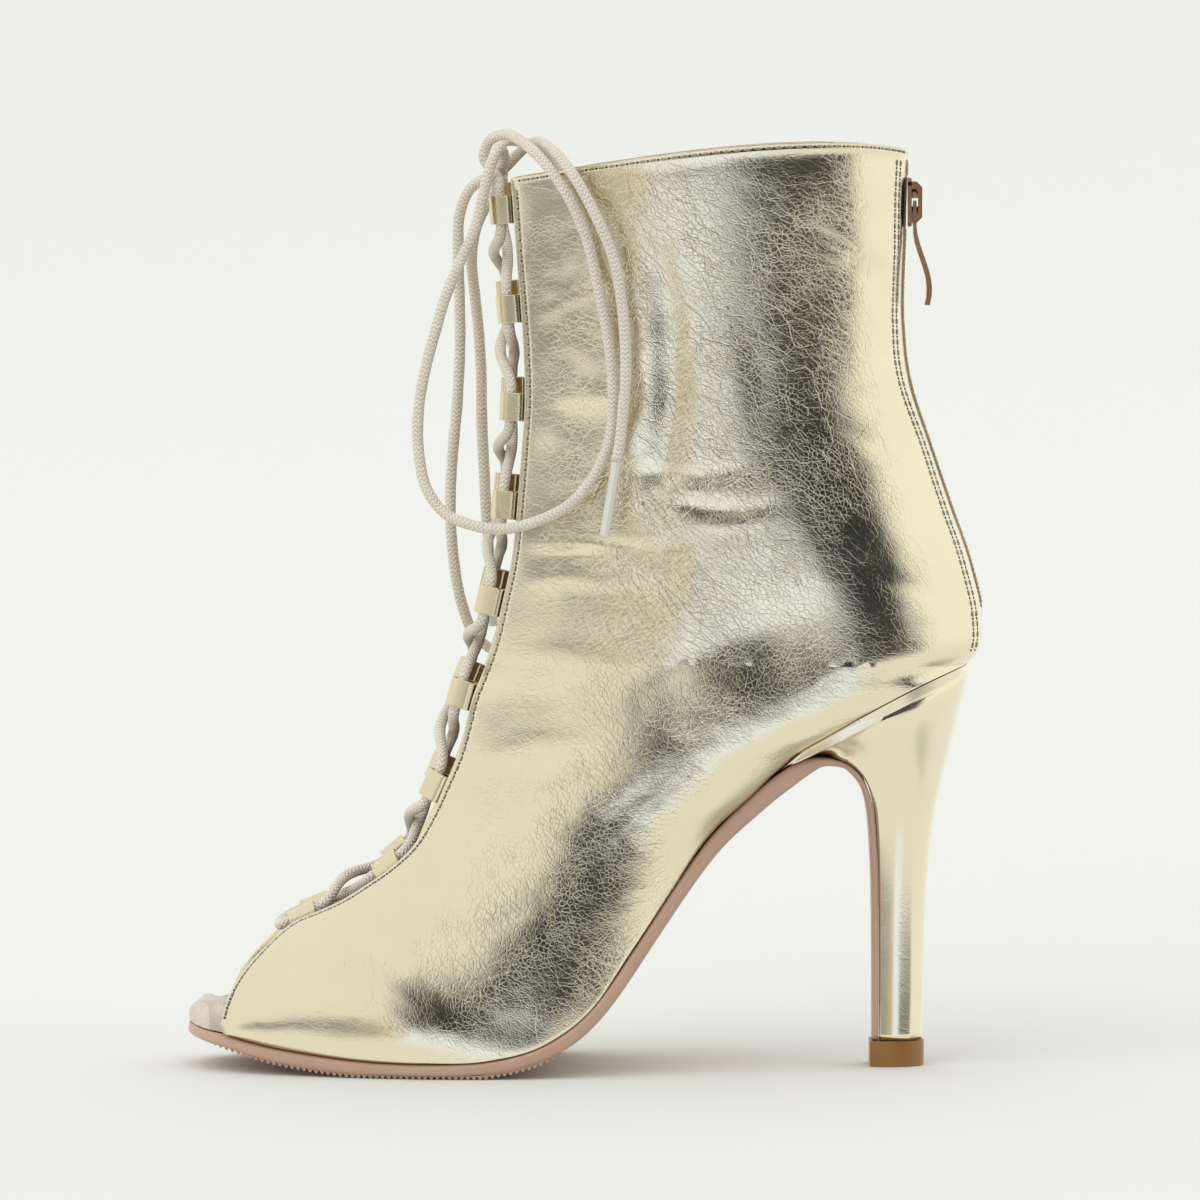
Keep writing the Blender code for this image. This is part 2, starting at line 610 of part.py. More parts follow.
def edge_frames(sections, throat_end, side):
    """Places along the throat's edge with the directions down it, past it and outward."""
    spots = []
    for section in sections[: int(throat_end) + 2]:
        edge = section_point(section, side, 1.0)
        inside = section_point(section, side, wall_turns()[-2])
        spots.append((*edge, *(edge - inside).normalized()))
    spots = np.array(spots)
    steps = np.linalg.norm(np.diff(spots[:, :3], axis=0), axis=1)
    return spots, np.concatenate([[0.0], np.cumsum(steps)])


def loop_frame(sections, throat_end, side, number):
    """Where one lace loop sits on the edge, and its three directions."""
    spots, stops = edge_frames(sections, throat_end, side)
    last = stops[int(throat_end)] - LAST_LOOP
    reach = FIRST_LOOP + (last - FIRST_LOOP) * number / (LOOP_COUNT - 1)
    if side == MEDIAL:
        reach -= LOOP_STAGGER
    here, ahead = along_curve(spots, where=[reach / stops[-1], (reach + 0.001) / stops[-1]])
    centre = Vector(here[:3])
    down = (Vector(ahead[:3]) - centre).normalized()
    past = Vector(here[3:6])
    past = (past - down * past.dot(down)).normalized()
    outward = down.cross(past) * side
    return centre, down, past, outward.normalized()


def loop_spot(frame, reach, depth, shift=0.0):
    """A point by its reach past the edge, its depth under the surface and its shift down."""
    centre, down, past, outward = frame
    return centre + past * reach - outward * depth + down * shift


def loop_profile():
    """Outer and inner outline of a lace loop, as reach past the edge and depth."""
    hole = CORD + 2 * CORD_PLAY
    tall = hole + 2 * LOOP_LEATHER
    seat = WALL + LOOP_SEAT
    front = LOOP_REACH - tall / 2
    rear = LOOP_LEATHER + hole / 2
    outer = [(-LOOP_TAB, seat + 2 * LOOP_LEATHER), (-LOOP_TAB, seat), (GAP, seat),
             (rear, LOOP_DEPTH - tall / 2), (front, LOOP_DEPTH - tall / 2)]
    inner = [(LOOP_LEATHER, seat + 1.4 * LOOP_LEATHER), (1.1 * LOOP_LEATHER, seat + LOOP_LEATHER),
             (1.4 * LOOP_LEATHER, seat + 0.5 * LOOP_LEATHER),
             (rear + 0.5 * LOOP_LEATHER, LOOP_DEPTH - hole / 2), (front, LOOP_DEPTH - hole / 2)]
    for step in range(1, 5):
        angle = -math.pi / 2 + math.pi * step / 5
        outer.append((front + tall / 2 * math.cos(angle), LOOP_DEPTH + tall / 2 * math.sin(angle)))
        inner.append((front + hole / 2 * math.cos(angle), LOOP_DEPTH + hole / 2 * math.sin(angle)))
    outer += [(front, LOOP_DEPTH + tall / 2), (rear, LOOP_DEPTH + tall / 2)]
    inner += [(front, LOOP_DEPTH + hole / 2), (rear, LOOP_DEPTH + hole / 2)]
    return outer, inner


def make_lace_loop(name, frame, made_of):
    """A folded leather band that the lace runs through."""
    outer, inner = loop_profile()
    shape = bmesh.new()
    rims = []
    for outline in (outer, inner):
        verts = [shape.verts.new(loop_spot(frame, reach, depth, -LOOP_WIDTH / 2))
                 for reach, depth in outline]
        rims.append(verts)
        for here, there in zip(verts, verts[1:] + verts[:1]):
            shape.edges.new((here, there))
    count = len(outer)
    for step in range(count):
        ahead = (step + 1) % count
        shape.faces.new((rims[0][step], rims[0][ahead], rims[1][ahead], rims[1][step]))
    grown = bmesh.ops.extrude_face_region(shape, geom=list(shape.faces))["geom"]
    moved = [item for item in grown if isinstance(item, bmesh.types.BMVert)]
    bmesh.ops.translate(shape, verts=moved, vec=frame[1] * LOOP_WIDTH)
    return finish(name, shape, made_of)


def lace_route(frames):
    """The lace from the knot down one side through every loop, and up the other side."""
    hole = CORD + 2 * CORD_PLAY
    reach = LOOP_REACH - LOOP_LEATHER - hole / 2
    depth = LOOP_DEPTH
    half = LOOP_WIDTH / 2 + CORD_PLAY

    def through(side, number):
        frame = frames[side, number]
        return [loop_spot(frame, reach, depth, shift) for shift in (-half, 0.0, half)]

    def crossing(side, number, lift):
        """Where a strand from one row to the next passes the middle."""
        start = loop_spot(frames[side, number], reach, depth, half)
        stop = loop_spot(frames[-side, number + 1], reach, depth, -half)
        outward = frames[side, number][3] + frames[-side, number + 1][3]
        outward.y = 0.0
        return (start + stop) / 2 + outward.normalized() * (CROSSING_BOW + lift)

    def strand(side, lift):
        points = []
        for number in range(LOOP_COUNT):
            points += through(side, number)
            if number < LOOP_COUNT - 1:
                points.append(crossing(side, number, lift))
            side = -side
        return points

    lift = CORD / 2 + GAP
    down_way = strand(LATERAL, lift)
    up_way = strand(MEDIAL, -lift)
    for way in (down_way, up_way):
        way.append(way[-1] + (way[-1] - way[-2]).normalized() * BAR_SAG / 2)
    bar = (down_way[-1] + up_way[-1]) / 2 + (down_way[-1] - down_way[-2]).normalized() * BAR_SAG
    knot = Vector(KNOT_PLACE)
    ends = []
    for side in (LATERAL, MEDIAL):
        above = loop_spot(frames[side, 0], reach, depth, -half - BAR_SAG)
        ends.append([knot + Vector((0.0, side * 0.54 * KNOT_SIZE[1], 0.0)), above])
    return ends[0] + down_way + [bar] + list(reversed(up_way)) + list(reversed(ends[1]))


def lace_stops(route):
    """Shares of the route at its own points and between those that lie apart."""
    steps = [(there - here).length for here, there in zip(route, route[1:])]
    total = sum(steps)
    stops = [0.0]
    travelled = 0.0
    for step in steps:
        parts = max(1, round(step / LACE_PITCH))
        stops += [(travelled + step * part / parts) / total for part in range(1, parts + 1)]
        travelled += step
    return stops


def tube(name, points, width, made_of, stops=None):
    """A plain cord along a smooth curve through its route's own points."""
    route = np.asarray([tuple(point) for point in points], float)
    length = np.linalg.norm(np.diff(route, axis=0), axis=1).sum()
    if stops is None:
        stops = np.linspace(0.0, 1.0, max(4, round(length / (CORD_PITCH * width))))
    read = along_curve(route, where=stops)
    data = bpy.data.curves.new(name, "CURVE")
    data.dimensions = "3D"
    data.bevel_depth = width / 2
    data.bevel_resolution = 2
    data.use_fill_caps = True
    data.render_resolution_u = 0
    spline = data.splines.new("POLY")
    spline.points.add(len(read) - 1)
    for spot, point in zip(spline.points, read):
        spot.co = (*point[:3], 1.0)
    data.materials.append(made_of)
    piece = bpy.data.objects.new(name, data)
    bpy.context.scene.collection.objects.link(piece)
    return piece


def make_aglet(name, cord, made_of):
    """The stiff tip that carries a cord on from its last point."""
    before, end = Vector(cord[-2]), Vector(cord[-1])
    way = (end - before).normalized()
    tube(name, [end + way * GAP, end + way * (GAP + AGLET_LENGTH)], AGLET, made_of)


def make_knot(made_of):
    """The bow's knot as one rounded lump between the two edges."""
    shape = bmesh.new()
    bmesh.ops.create_icosphere(shape, subdivisions=2, radius=0.5)
    bmesh.ops.scale(shape, vec=KNOT_SIZE, verts=shape.verts)
    bmesh.ops.translate(shape, vec=KNOT_PLACE, verts=shape.verts)
    return finish("lace_knot", shape, made_of)


def back_seam(sections):
    """The back seam's points, from the collar to the end of the zip's slit."""
    return [(section.foot_x, section.foot_z) for section in sections[: SHAFT_STEPS + 1]]


def make_back_ribbon(name, seam, half, proud, deep, made_of):
    """A strip that follows the back seam between the collar and the foot of the slit."""
    points = np.array([(x, 0.0, z) for x, z in seam])
    length = np.linalg.norm(np.diff(points, axis=0), axis=1).sum()
    shares = np.linspace(ZIP_TOP / length, 1 - ZIP_FOOT / length, 18)
    read = along_curve(points, where=shares)
    runs = np.gradient(read, axis=0)
    rings = []
    for point, run in zip(read, runs):
        run = Vector(run).normalized()
        out = Vector((-run.z, 0.0, run.x))
        spot = Vector(point)
        rings.append([spot + out * proud + Vector((0.0, -half, 0.0)),
                      spot + out * proud + Vector((0.0, half, 0.0)),
                      spot - out * deep + Vector((0.0, half, 0.0)),
                      spot - out * deep + Vector((0.0, -half, 0.0))])
    return loft(name, rings, made_of)


def slider_place(seam):
    """The back seam's x and the slider's height at its middle."""
    top = seam[0][1]
    height = top - SLIDER_FROM_TOP
    points = np.array(seam)
    return float(np.interp(-height, -points[:, 1], points[:, 0])), height


def make_slider(seam, made_of):
    """The zip's slider: a plate over the chain with the bail for its pull."""
    x, z = slider_place(seam)
    low = x + ZIP_PROUD + GAP
    high = low + SLIDER_PLATE
    lane = high + BAIL_HOLE
    top = lane + BAIL_SHEET
    shape = bmesh.new()
    bmesh.ops.create_cube(shape, size=1.0)
    bmesh.ops.scale(shape, vec=(SLIDER_PLATE, SLIDER_WIDTH, SLIDER_HEIGHT), verts=shape.verts)
    upright = [edge for edge in shape.edges
               if abs(edge.verts[0].co.x - edge.verts[1].co.x) > SLIDER_PLATE / 2]
    bmesh.ops.bevel(shape, geom=upright, offset=SLIDER_WIDTH * 0.25, segments=3,
                    affect="EDGES", profile=0.5)
    bmesh.ops.translate(shape, vec=((low + high) / 2, 0.0, z), verts=shape.verts)
    plate = finish("zip_slider", shape, made_of)
    foot = BAIL_HALF * 1.25
    arch = [(high - SLIDER_PLATE / 2, -foot), (lane - 0.0004, -foot), (top, -foot + 0.0015),
            (top, foot - 0.0015), (lane - 0.0004, foot), (high - SLIDER_PLATE / 2, foot)]
    lane_arch = [(high - SLIDER_PLATE / 2, -BAIL_HALF * 0.8), (lane - 0.0006, -BAIL_HALF * 0.8),
                 (lane, -BAIL_HALF * 0.6), (lane, BAIL_HALF * 0.6),
                 (lane - 0.0006, BAIL_HALF * 0.8), (high - SLIDER_PLATE / 2, BAIL_HALF * 0.8)]
    shape = bmesh.new()
    rows = [[shape.verts.new((reach, -BAIL_WIDTH / 2, z + shift)) for reach, shift in outline]
            for outline in (arch, lane_arch)]
    for step in range(len(arch) - 1):
        shape.faces.new((rows[0][step], rows[0][step + 1], rows[1][step + 1], rows[1][step]))
    grown = bmesh.ops.extrude_face_region(shape, geom=list(shape.faces))["geom"]
    moved = [item for item in grown if isinstance(item, bmesh.types.BMVert)]
    bmesh.ops.translate(shape, verts=moved, vec=(0.0, BAIL_WIDTH, 0.0))
    bail = finish("bail_shape", shape, made_of)
    bail.hide_render = True
    bail.display_type = "WIRE"
    weld = plate.modifiers.new("bail", "BOOLEAN")
    weld.operation = "UNION"
    weld.solver = "EXACT"
    weld.object = bail
    return plate


def make_pull(seam, made_of):
    """The pull tab: a bar in the bail, two arms and a strap with a slow bend."""
    x, z = slider_place(seam)
    hinge = Vector((x + ZIP_PROUD + GAP + SLIDER_PLATE + BAIL_HOLE / 2, 0.0, z))
    inner = BAIL_WIDTH / 2 + GAP
    outer = inner + PULL_ARM
    neck = BAIL_HALF * 1.25 + 2 * GAP
    stations = [(PULL_BAR / 2, outer), (-PULL_BAR / 2, outer), (-neck, outer)]
    strap_steps = 9
    for step in range(1, strap_steps + 1):
        share = step / strap_steps
        width = outer + (PULL_WIDTH / 2 - outer) * math.sin(math.pi * min(1.0, share * 1.3) / 2)
        if step == strap_steps:
            width *= 0.55
        stations.append((-neck - (PULL_LENGTH - neck) * share, width))
    chains = []
    for drop, half in stations:
        chains.append([Vector((0.0, side, drop)) for side in (-half, -inner, inner, half)])
    shape = bmesh.new()
    skin(shape, chains, closed=False)
    window = [face for face in shape.faces
              if abs(face.calc_center_median().y) < inner / 2
              and -neck < face.calc_center_median().z < -PULL_BAR / 2]
    bmesh.ops.delete(shape, geom=window, context="FACES")
    grown = bmesh.ops.extrude_face_region(shape, geom=list(shape.faces))["geom"]
    front = {item for item in grown if isinstance(item, bmesh.types.BMVert)}
    for vert in shape.verts:
        share = min(1.0, max(0.0, -vert.co.z - neck) / (PULL_LENGTH - neck))
        thick = PULL_BAR + (PULL_SHEET - PULL_BAR) * min(1.0, share * 4)
        bend = PULL_SWAY * (math.sin(math.pi * 0.62 * share) ** 2)
        vert.co.x = bend + (thick / 2 if vert in front else -thick / 2)
    pull = finish("zip_pull", shape, made_of)
    pull.location = hinge
    return pull


def build():
    clear_scene()
    leather = material("gold_leather", (0.80, 0.72, 0.50), 0.28, 0.9)
    rubber = material("nude_sole", (0.45, 0.26, 0.19), 0.5)
    tip = material("tan_tip", (0.40, 0.20, 0.06), 0.45)
    suede = material("beige_suede", (0.72, 0.63, 0.54), 0.95)
    cotton = material("cotton_cord", (0.80, 0.74, 0.66), 0.9)
    metal = material("rose_gold", (0.65, 0.42, 0.30), 0.2, 1.0)
    tape = material("zip_tape", (0.55, 0.47, 0.36), 0.85)
    resin = material("clear_aglet", (0.75, 0.74, 0.68), 0.25)

    sections, throat_end = upper_sections()
    make_upper(sections, leather)
    make_outsole(rubber)
    make_insole(suede)
    make_heel(leather)
    make_heel_tip(tip)

    seam = back_seam(sections)
    make_back_ribbon("zip_chain", seam, ZIP_CHAIN / 2, ZIP_PROUD, ZIP_DEPTH, metal)
    make_back_ribbon("zip_tape", seam, ZIP_TAPE / 2, -ZIP_DEPTH - GAP,
                     ZIP_DEPTH + GAP + TAPE_SHEET, tape)
    make_slider(seam, metal)
    make_pull(seam, metal)

    frames = {}
    for side, word in ((LATERAL, "near"), (MEDIAL, "far")):
        for number in range(LOOP_COUNT):
            frame = loop_frame(sections, throat_end, side, number)
            frames[side, number] = frame
            make_lace_loop(f"lace_loop_{word}_{number + 1}", frame, leather)
    route = lace_route(frames)
    tube("lace_run", route, CORD, cotton, stops=lace_stops(route))

    make_knot(cotton)
    tube("lace_bow_near", BOW_NEAR, CORD, cotton)
    tube("lace_end_near", END_NEAR, CORD, cotton)
    tube("lace_bow_far", BOW_FAR, CORD, cotton)
    tube("lace_end_far", END_FAR, CORD, cotton)
    make_aglet("aglet_near", END_NEAR, resin)
    make_aglet("aglet_far", END_FAR, resin)


build()
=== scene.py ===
"""Looks of the left lace-up stiletto ankle boot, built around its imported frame."""
import json
import math
from collections import namedtuple

import bmesh
import bpy
import numpy as np
from mathutils import Matrix, Vector, noise
from mathutils.bvhtree import BVHTree
from mathutils.kdtree import KDTree

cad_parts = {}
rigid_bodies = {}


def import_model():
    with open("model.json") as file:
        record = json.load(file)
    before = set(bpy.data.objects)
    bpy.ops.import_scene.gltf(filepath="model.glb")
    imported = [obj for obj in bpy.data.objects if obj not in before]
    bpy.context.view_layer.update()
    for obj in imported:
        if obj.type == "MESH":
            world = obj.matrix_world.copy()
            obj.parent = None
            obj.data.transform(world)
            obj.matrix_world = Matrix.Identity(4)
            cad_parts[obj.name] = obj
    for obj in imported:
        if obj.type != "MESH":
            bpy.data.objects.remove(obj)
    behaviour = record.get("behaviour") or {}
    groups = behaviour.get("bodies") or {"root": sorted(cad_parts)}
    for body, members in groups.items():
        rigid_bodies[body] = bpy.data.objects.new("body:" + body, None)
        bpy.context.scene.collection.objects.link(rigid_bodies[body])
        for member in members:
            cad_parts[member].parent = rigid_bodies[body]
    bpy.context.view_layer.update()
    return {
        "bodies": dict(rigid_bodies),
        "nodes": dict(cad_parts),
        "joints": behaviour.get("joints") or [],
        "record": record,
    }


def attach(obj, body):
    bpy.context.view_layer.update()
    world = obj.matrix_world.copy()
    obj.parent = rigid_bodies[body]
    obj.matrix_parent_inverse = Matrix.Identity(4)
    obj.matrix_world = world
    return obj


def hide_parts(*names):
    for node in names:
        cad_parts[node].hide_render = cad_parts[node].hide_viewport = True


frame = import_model()
nodes = frame["nodes"]

# Sizes in metres, the same as in the part's source
LENGTH = 0.2110
MIDDLE = 0.4988
HEEL_HEIGHT = 0.1065
SHAFT_HEIGHT = 0.1385
BALL_WIDTH = 0.0780
SHAFT_WIDTH = 0.0590
THROAT_GAP = 0.0330
WALL = 0.0016
GAP = 0.0003
ZIP_CHAIN = 0.0038
SLIT_POINT = 0.0030
CORD = 0.0030
FULLNESS = 0.90
RISE_LEAN = 0.70

SOLE = 0.0045
LOOP_COUNT = 9
LOOP_WIDTH = 0.0074
LOOP_REACH = 0.0078
LOOP_LEATHER = 0.0009
LOOP_TAB = 0.0030
LOOP_DEPTH = 0.0016
LOOP_SEAT = 0.0005
FIRST_LOOP = 0.0082
LAST_LOOP = 0.0055
LOOP_STAGGER = 0.0034
CORD_PLAY = 0.0006
CROSSING_BOW = 0.0008
BAR_SAG = 0.0026
ZIP_PROUD = 0.0004
ZIP_TOP = 0.0025
ZIP_FOOT = 0.0006
SLIDER_HEIGHT = 0.0130
SLIDER_FROM_TOP = 0.0138
SLIDER_PLATE = 0.0010
BAIL_SHEET = 0.0011
# Steps of the sections in the part's source, and the finer ones of the leather here
CAD_STEPS = (0, 15, 3, 8, 18)
FINE_STEPS = (12, 80, 6, 30, 142)
FINE_TURNS = 78
EDGE_TURNS = 12
EDGE_FOLD = 0.0040
COLLAR_FOLD = 0.0018
FOLD_STEP = 0.00034
EDGE_TURN = 0.9 ** 1.3

# Sizes of what only shows here
STITCH_PITCH = 0.0027
STITCH_LENGTH = 0.0019
STITCH_THICK = 0.00062
HOLE_WIDTH = 0.00085
BRAID_PITCH = 0.0012
WANDER = 0.0012
TREAD_PITCH = 0.0016
TREAD_DEPTH = 0.0008
TREAD_BURIED = 0.0004
# Half widths of a rib at its root and its tip, as shares of the pitch
RIB_ROOT, RIB_TIP = 0.62, 0.10
# Where the tread starts and ends, in pixels of the side view
TREAD_PIXELS = (212, 566)
SEAM_STEP = 0.0002
TOOTH_PITCH = 0.00125
TOOTH_SIZE = (0.0019, 0.74 * TOOTH_PITCH, 0.0011)
TOOTH_ROW = 0.00082
LOCK_WIDTH = 0.0020
LOCK_TALL = 0.0030
LOCK_REACH = 0.0026
FOOTBED_ROUND = 0.008
SIDES = (-1, 1)

# The side view: its scale, the pixel of the frame's origin, and the camera that sees it
MM_PER_PIXEL = 0.265
ORIGIN_PIXEL = (584, 1067)
LENS, SENSOR = 260.4, 36.0
CAMERA_PLACE = (0.0042, -2.30, 0.250)
CAMERA_AIM = (0.0042, 0.0, 0.1238)
# Patches of the side view in pixels: the middle, then how far they reach across and up
CRUSHED_SHAFT = (700, 380, 210, 330)
CRUSHED_VAMP = (560, 860, 170, 200)
STRETCHED = (725, 340, 80, 200)
DENTED = (585, 390, 70, 200)

# Relief of the upper's leather in metres: the size of each kind of dent, then its depth
CRUMPLES = (0.0075, 0.00015)
FINE_CRUMPLES = (0.0030, 0.00005)
SOFT_WAVES = (0.022, 0.00055)
DENTS = (0.011, 0.00100)


def spot(px, py):
    """A pixel of the side view as x and z in the boot's middle plane, in metres."""
    across, up = px - ORIGIN_PIXEL[0], ORIGIN_PIXEL[1] - py
    return across * MM_PER_PIXEL / 1000, up * MM_PER_PIXEL / 1000


# Materials

def linear(colour):
    """A #rrggbb colour as the linear values that a shader takes."""
    values = [int(colour[place:place + 2], 16) / 255 for place in (1, 3, 5)]
    return [v / 12.92 if v <= 0.04045 else ((v + 0.055) / 1.055) ** 2.4 for v in values] + [1.0]


def start_material(name):
    """A new node material: its node tree, the place on the piece, and its shader."""
    made = bpy.data.materials.new(name)
    made.use_nodes = True
    tree = made.node_tree
    return made, tree, node(tree, "TexCoord").outputs["Object"], tree.nodes["Principled BSDF"]


def feed(made, inputs):
    """Gives each socket a value, another node's output or a node, which is its first output."""
    for name, value in inputs.items():
        socket = made.inputs[name]
        if isinstance(value, bpy.types.Node):
            value = value.outputs[0]
        if isinstance(value, bpy.types.NodeSocket):
            made.id_data.links.new(value, socket)
        else:
            socket.default_value = value
    return made


def node(tree, kind, settings=None, inputs=None):
    """Adds one node with its settings and links."""
    made = tree.nodes.new("ShaderNode" + kind)
    for name, value in (settings or {}).items():
        setattr(made, name, value)
    return feed(made, inputs or {})


def crazing(tree, place, cells, spread):
    """Lines of a wandering net, 1 inside its cells and 0 on the lines."""
    net = node(tree, "TexVoronoi", {"feature": "DISTANCE_TO_EDGE"}, {"Vector": place, "Scale": cells})
    return node(tree, "MapRange", {"interpolation_type": "SMOOTHSTEP"},
                {"Value": net.outputs["Distance"], "From Max": spread})


def foil_leather(name, tone, deep, crush, painted, dull):
    """Leather under a thin metal foil: mirror bright, and crazed where it was crushed."""
    made, tree, place, shader = start_material(name)
    # The lines wander, so the place is pushed about by under a millimetre of noise
    wander = node(tree, "TexNoise", None, {"Vector": place, "Scale": 300.0, "Detail": 2.0})
    centred = node(tree, "VectorMath", {"operation": "SUBTRACT"},
                   {0: wander.outputs["Color"], 1: (0.5, 0.5, 0.5)})
    pushed = node(tree, "VectorMath", {"operation": "MULTIPLY_ADD"},
                  {0: centred, 1: (WANDER, WANDER, WANDER), 2: place})
    # The creases' net is drawn out along the way that the shaft's leather folds
    turned = node(tree, "VectorRotate", {"rotation_type": "Y_AXIS"}, {"Vector": pushed, "Angle": -0.61})
    drawn = node(tree, "VectorMath", {"operation": "MULTIPLY"}, {0: turned, 1: (0.5, 1.0, 1.0)})
    # Long creases 9 mm apart, creases 2.3 mm apart, then crazing 1.3 and 0.9 mm apart. Each net
    # has its cells to the metre, the width of its lines and their depth, both as shares. The
    # real crazing is finer still, and is drawn as coarse as it needs to show
    total = None
    for where, cells, spread, depth in ((pushed, 112.0, 0.018, 0.20), (drawn, 430.0, 0.050, 0.16),
                                        (pushed, 780.0, 0.090, 0.18), (pushed, 1150.0, 0.13, 0.09)):
        patch = node(tree, "TexNoise", None, {"Vector": place, "Scale": cells / 8, "Detail": 2.0})
        here = node(tree, "MapRange", None, {"Value": patch, "From Min": 0.40, "From Max": 0.62,
                     "To Min": 0.35 * depth, "To Max": depth})
        net = crazing(tree, where, cells, spread)
        lines = node(tree, "Math", {"operation": "MULTIPLY"}, {0: net, 1: here})
        if total is not None:
            lines = node(tree, "Math", {"operation": "ADD"}, {0: total, 1: lines})
        total = lines
    grain = node(tree, "TexNoise", None, {"Vector": place, "Scale": 640.0, "Detail": 4.0})
    height = node(tree, "Math", {"operation": "MULTIPLY_ADD"}, {0: grain, 1: 0.07, 2: total})
    amount = crush
    if painted:
        share = node(tree, "Attribute", {"attribute_name": "crush"})
        amount = node(tree, "Math", {"operation": "MULTIPLY"}, {0: share.outputs["Fac"], 1: crush})
    bump = node(tree, "Bump", None, {"Strength": amount, "Distance": 0.00016, "Height": height})
    worn = node(tree, "TexNoise", None, {"Vector": place, "Scale": 60.0, "Detail": 4.0})
    rub = node(tree, "MapRange", None, {"Value": worn, "To Min": dull - 0.06, "To Max": dull + 0.08})
    shade = node(tree, "Mix", {"data_type": "RGBA"},
                 {"Factor": worn, "A": linear(deep), "B": linear(tone)})
    feed(shader, {"Base Color": shade.outputs["Result"], "Roughness": rub,
                  "Normal": bump, "Metallic": 1.0})
    return made


def napped(name, tone, shade, grain, rough, depth):
    """Suede, lining or tape: a matt cloth or nap with soft uneven colour."""
    made, tree, place, shader = start_material(name)
    fibre = node(tree, "TexNoise", None, {"Vector": place, "Scale": grain, "Detail": 5.0})
    cloud = node(tree, "TexNoise", None, {"Vector": place, "Scale": grain / 22, "Detail": 2.0})
    mix = node(tree, "Math", {"operation": "MULTIPLY"}, {0: fibre, 1: cloud})
    spread = node(tree, "MapRange", None, {"Value": mix, "From Min": 0.12, "From Max": 0.38})
    colour = node(tree, "Mix", {"data_type": "RGBA"},
                  {"Factor": spread, "A": linear(shade), "B": linear(tone)})
    bump = node(tree, "Bump", None, {"Strength": 0.6, "Distance": depth, "Height": fibre})
    feed(shader, {"Base Color": colour.outputs["Result"], "Normal": bump,
                  "Roughness": rough, "Sheen Weight": 0.25})
    return made


def moulded(name, tone, shade, rough, coat=0.0):
    """Moulded rubber or plastic: satin, with a faint skin from the mould."""
    made, tree, place, shader = start_material(name)
    cloud = node(tree, "TexNoise", None, {"Vector": place, "Scale": 60.0, "Detail": 4.0})
    colour = node(tree, "Mix", {"data_type": "RGBA"},
                  {"Factor": cloud, "A": linear(shade), "B": linear(tone)})
    skin = node(tree, "TexNoise", None, {"Vector": place, "Scale": 900.0, "Detail": 2.0})
    bump = node(tree, "Bump", None, {"Strength": 0.25, "Distance": 0.0001, "Height": skin})
    gloss = node(tree, "MapRange", None,
                 {"Value": cloud, "To Min": rough - 0.06, "To Max": rough + 0.06})
    feed(shader, {"Base Color": colour.outputs["Result"], "Roughness": gloss,
                  "Normal": bump, "Coat Weight": coat})
    return made


def plated(name, tone, dark, rough):
    """Zip hardware: cast zinc, tumbled and plated, with fine rub marks."""
    made, tree, place, shader = start_material(name)
    rubbed = node(tree, "TexNoise", None, {"Vector": place, "Scale": 400.0, "Detail": 4.0})
    gloss = node(tree, "MapRange", None,
                 {"Value": rubbed, "To Min": rough - 0.06, "To Max": rough + 0.10})
    colour = node(tree, "Mix", {"data_type": "RGBA"},
                  {"Factor": rubbed, "A": linear(dark), "B": linear(tone)})
    bump = node(tree, "Bump", None, {"Strength": 0.12, "Distance": 0.00008, "Height": rubbed})
    feed(shader, {"Base Color": colour.outputs["Result"], "Roughness": gloss,
                  "Normal": bump, "Metallic": 1.0})
    return made


def braid(name, tone, shade):
    """Braided waxed cotton: the strands cross in a V on the cord's own map."""
    made, tree, place, shader = start_material(name)
    lay = node(tree, "UVMap", {"uv_map": "lay"}).outputs["UV"]
    split = node(tree, "SeparateXYZ", None, {"Vector": lay})
    # Six chevrons round the cord, their arms rising by 0.6 of a strand
    around = node(tree, "Math", {"operation": "MULTIPLY"}, {0: split.outputs["X"], 1: 6.0})
    zigzag = node(tree, "Math", {"operation": "PINGPONG"}, {0: around, 1: 0.5})
    phase = node(tree, "Math", {"operation": "MULTIPLY_ADD"},
                 {0: zigzag, 1: 1.2, 2: split.outputs["Y"]})
    turn = node(tree, "Math", {"operation": "MULTIPLY"}, {0: phase, 1: 2 * math.pi})
    over = node(tree, "Math", {"operation": "SINE"}, {0: turn})
    fuzz = node(tree, "TexNoise", None, {"Vector": place, "Scale": 2600.0, "Detail": 4.0})
    cloud = node(tree, "TexNoise", None, {"Vector": place, "Scale": 160.0, "Detail": 3.0})
    height = node(tree, "Math", {"operation": "MULTIPLY_ADD"}, {0: fuzz, 1: 0.8, 2: over})
    # Painted shade: the colour darkens where each strand dips under the next
    lit = node(tree, "MapRange", None, {"Value": over, "From Min": -0.6, "From Max": 0.8,
                "To Min": 0.30, "To Max": 0.85})
    blend = node(tree, "Math", {"operation": "MULTIPLY_ADD"}, {0: cloud, 1: 0.3, 2: lit})
    colour = node(tree, "Mix", {"data_type": "RGBA"},
                  {"Factor": blend, "A": linear(shade), "B": linear(tone)})
    bump = node(tree, "Bump", None, {"Strength": 0.7, "Distance": 0.00018, "Height": height})
    feed(shader, {"Base Color": colour.outputs["Result"], "Normal": bump,
                  "Roughness": 0.82, "Sheen Weight": 0.3})
    return made


# Pale champagne foil pressed on leather and crushed by hand: a bright mirror, broken by fine lines
upper_foil = foil_leather("crushed_gold_foil_leather", "#EFE6CB", "#E7DCBD", 1.0, True, 0.15)
# The same foil drawn smooth over the heel: long clean reflections
heel_foil = foil_leather("smooth_gold_foil_leather", "#EFE6CB", "#E9DFC1", 0.20, False, 0.16)
# The same foil on thin folded bands and edges, a little duller where it bends
loop_foil = foil_leather("folded_gold_foil_leather", "#EBE0C0", "#E4D7B2", 0.22, False, 0.20)
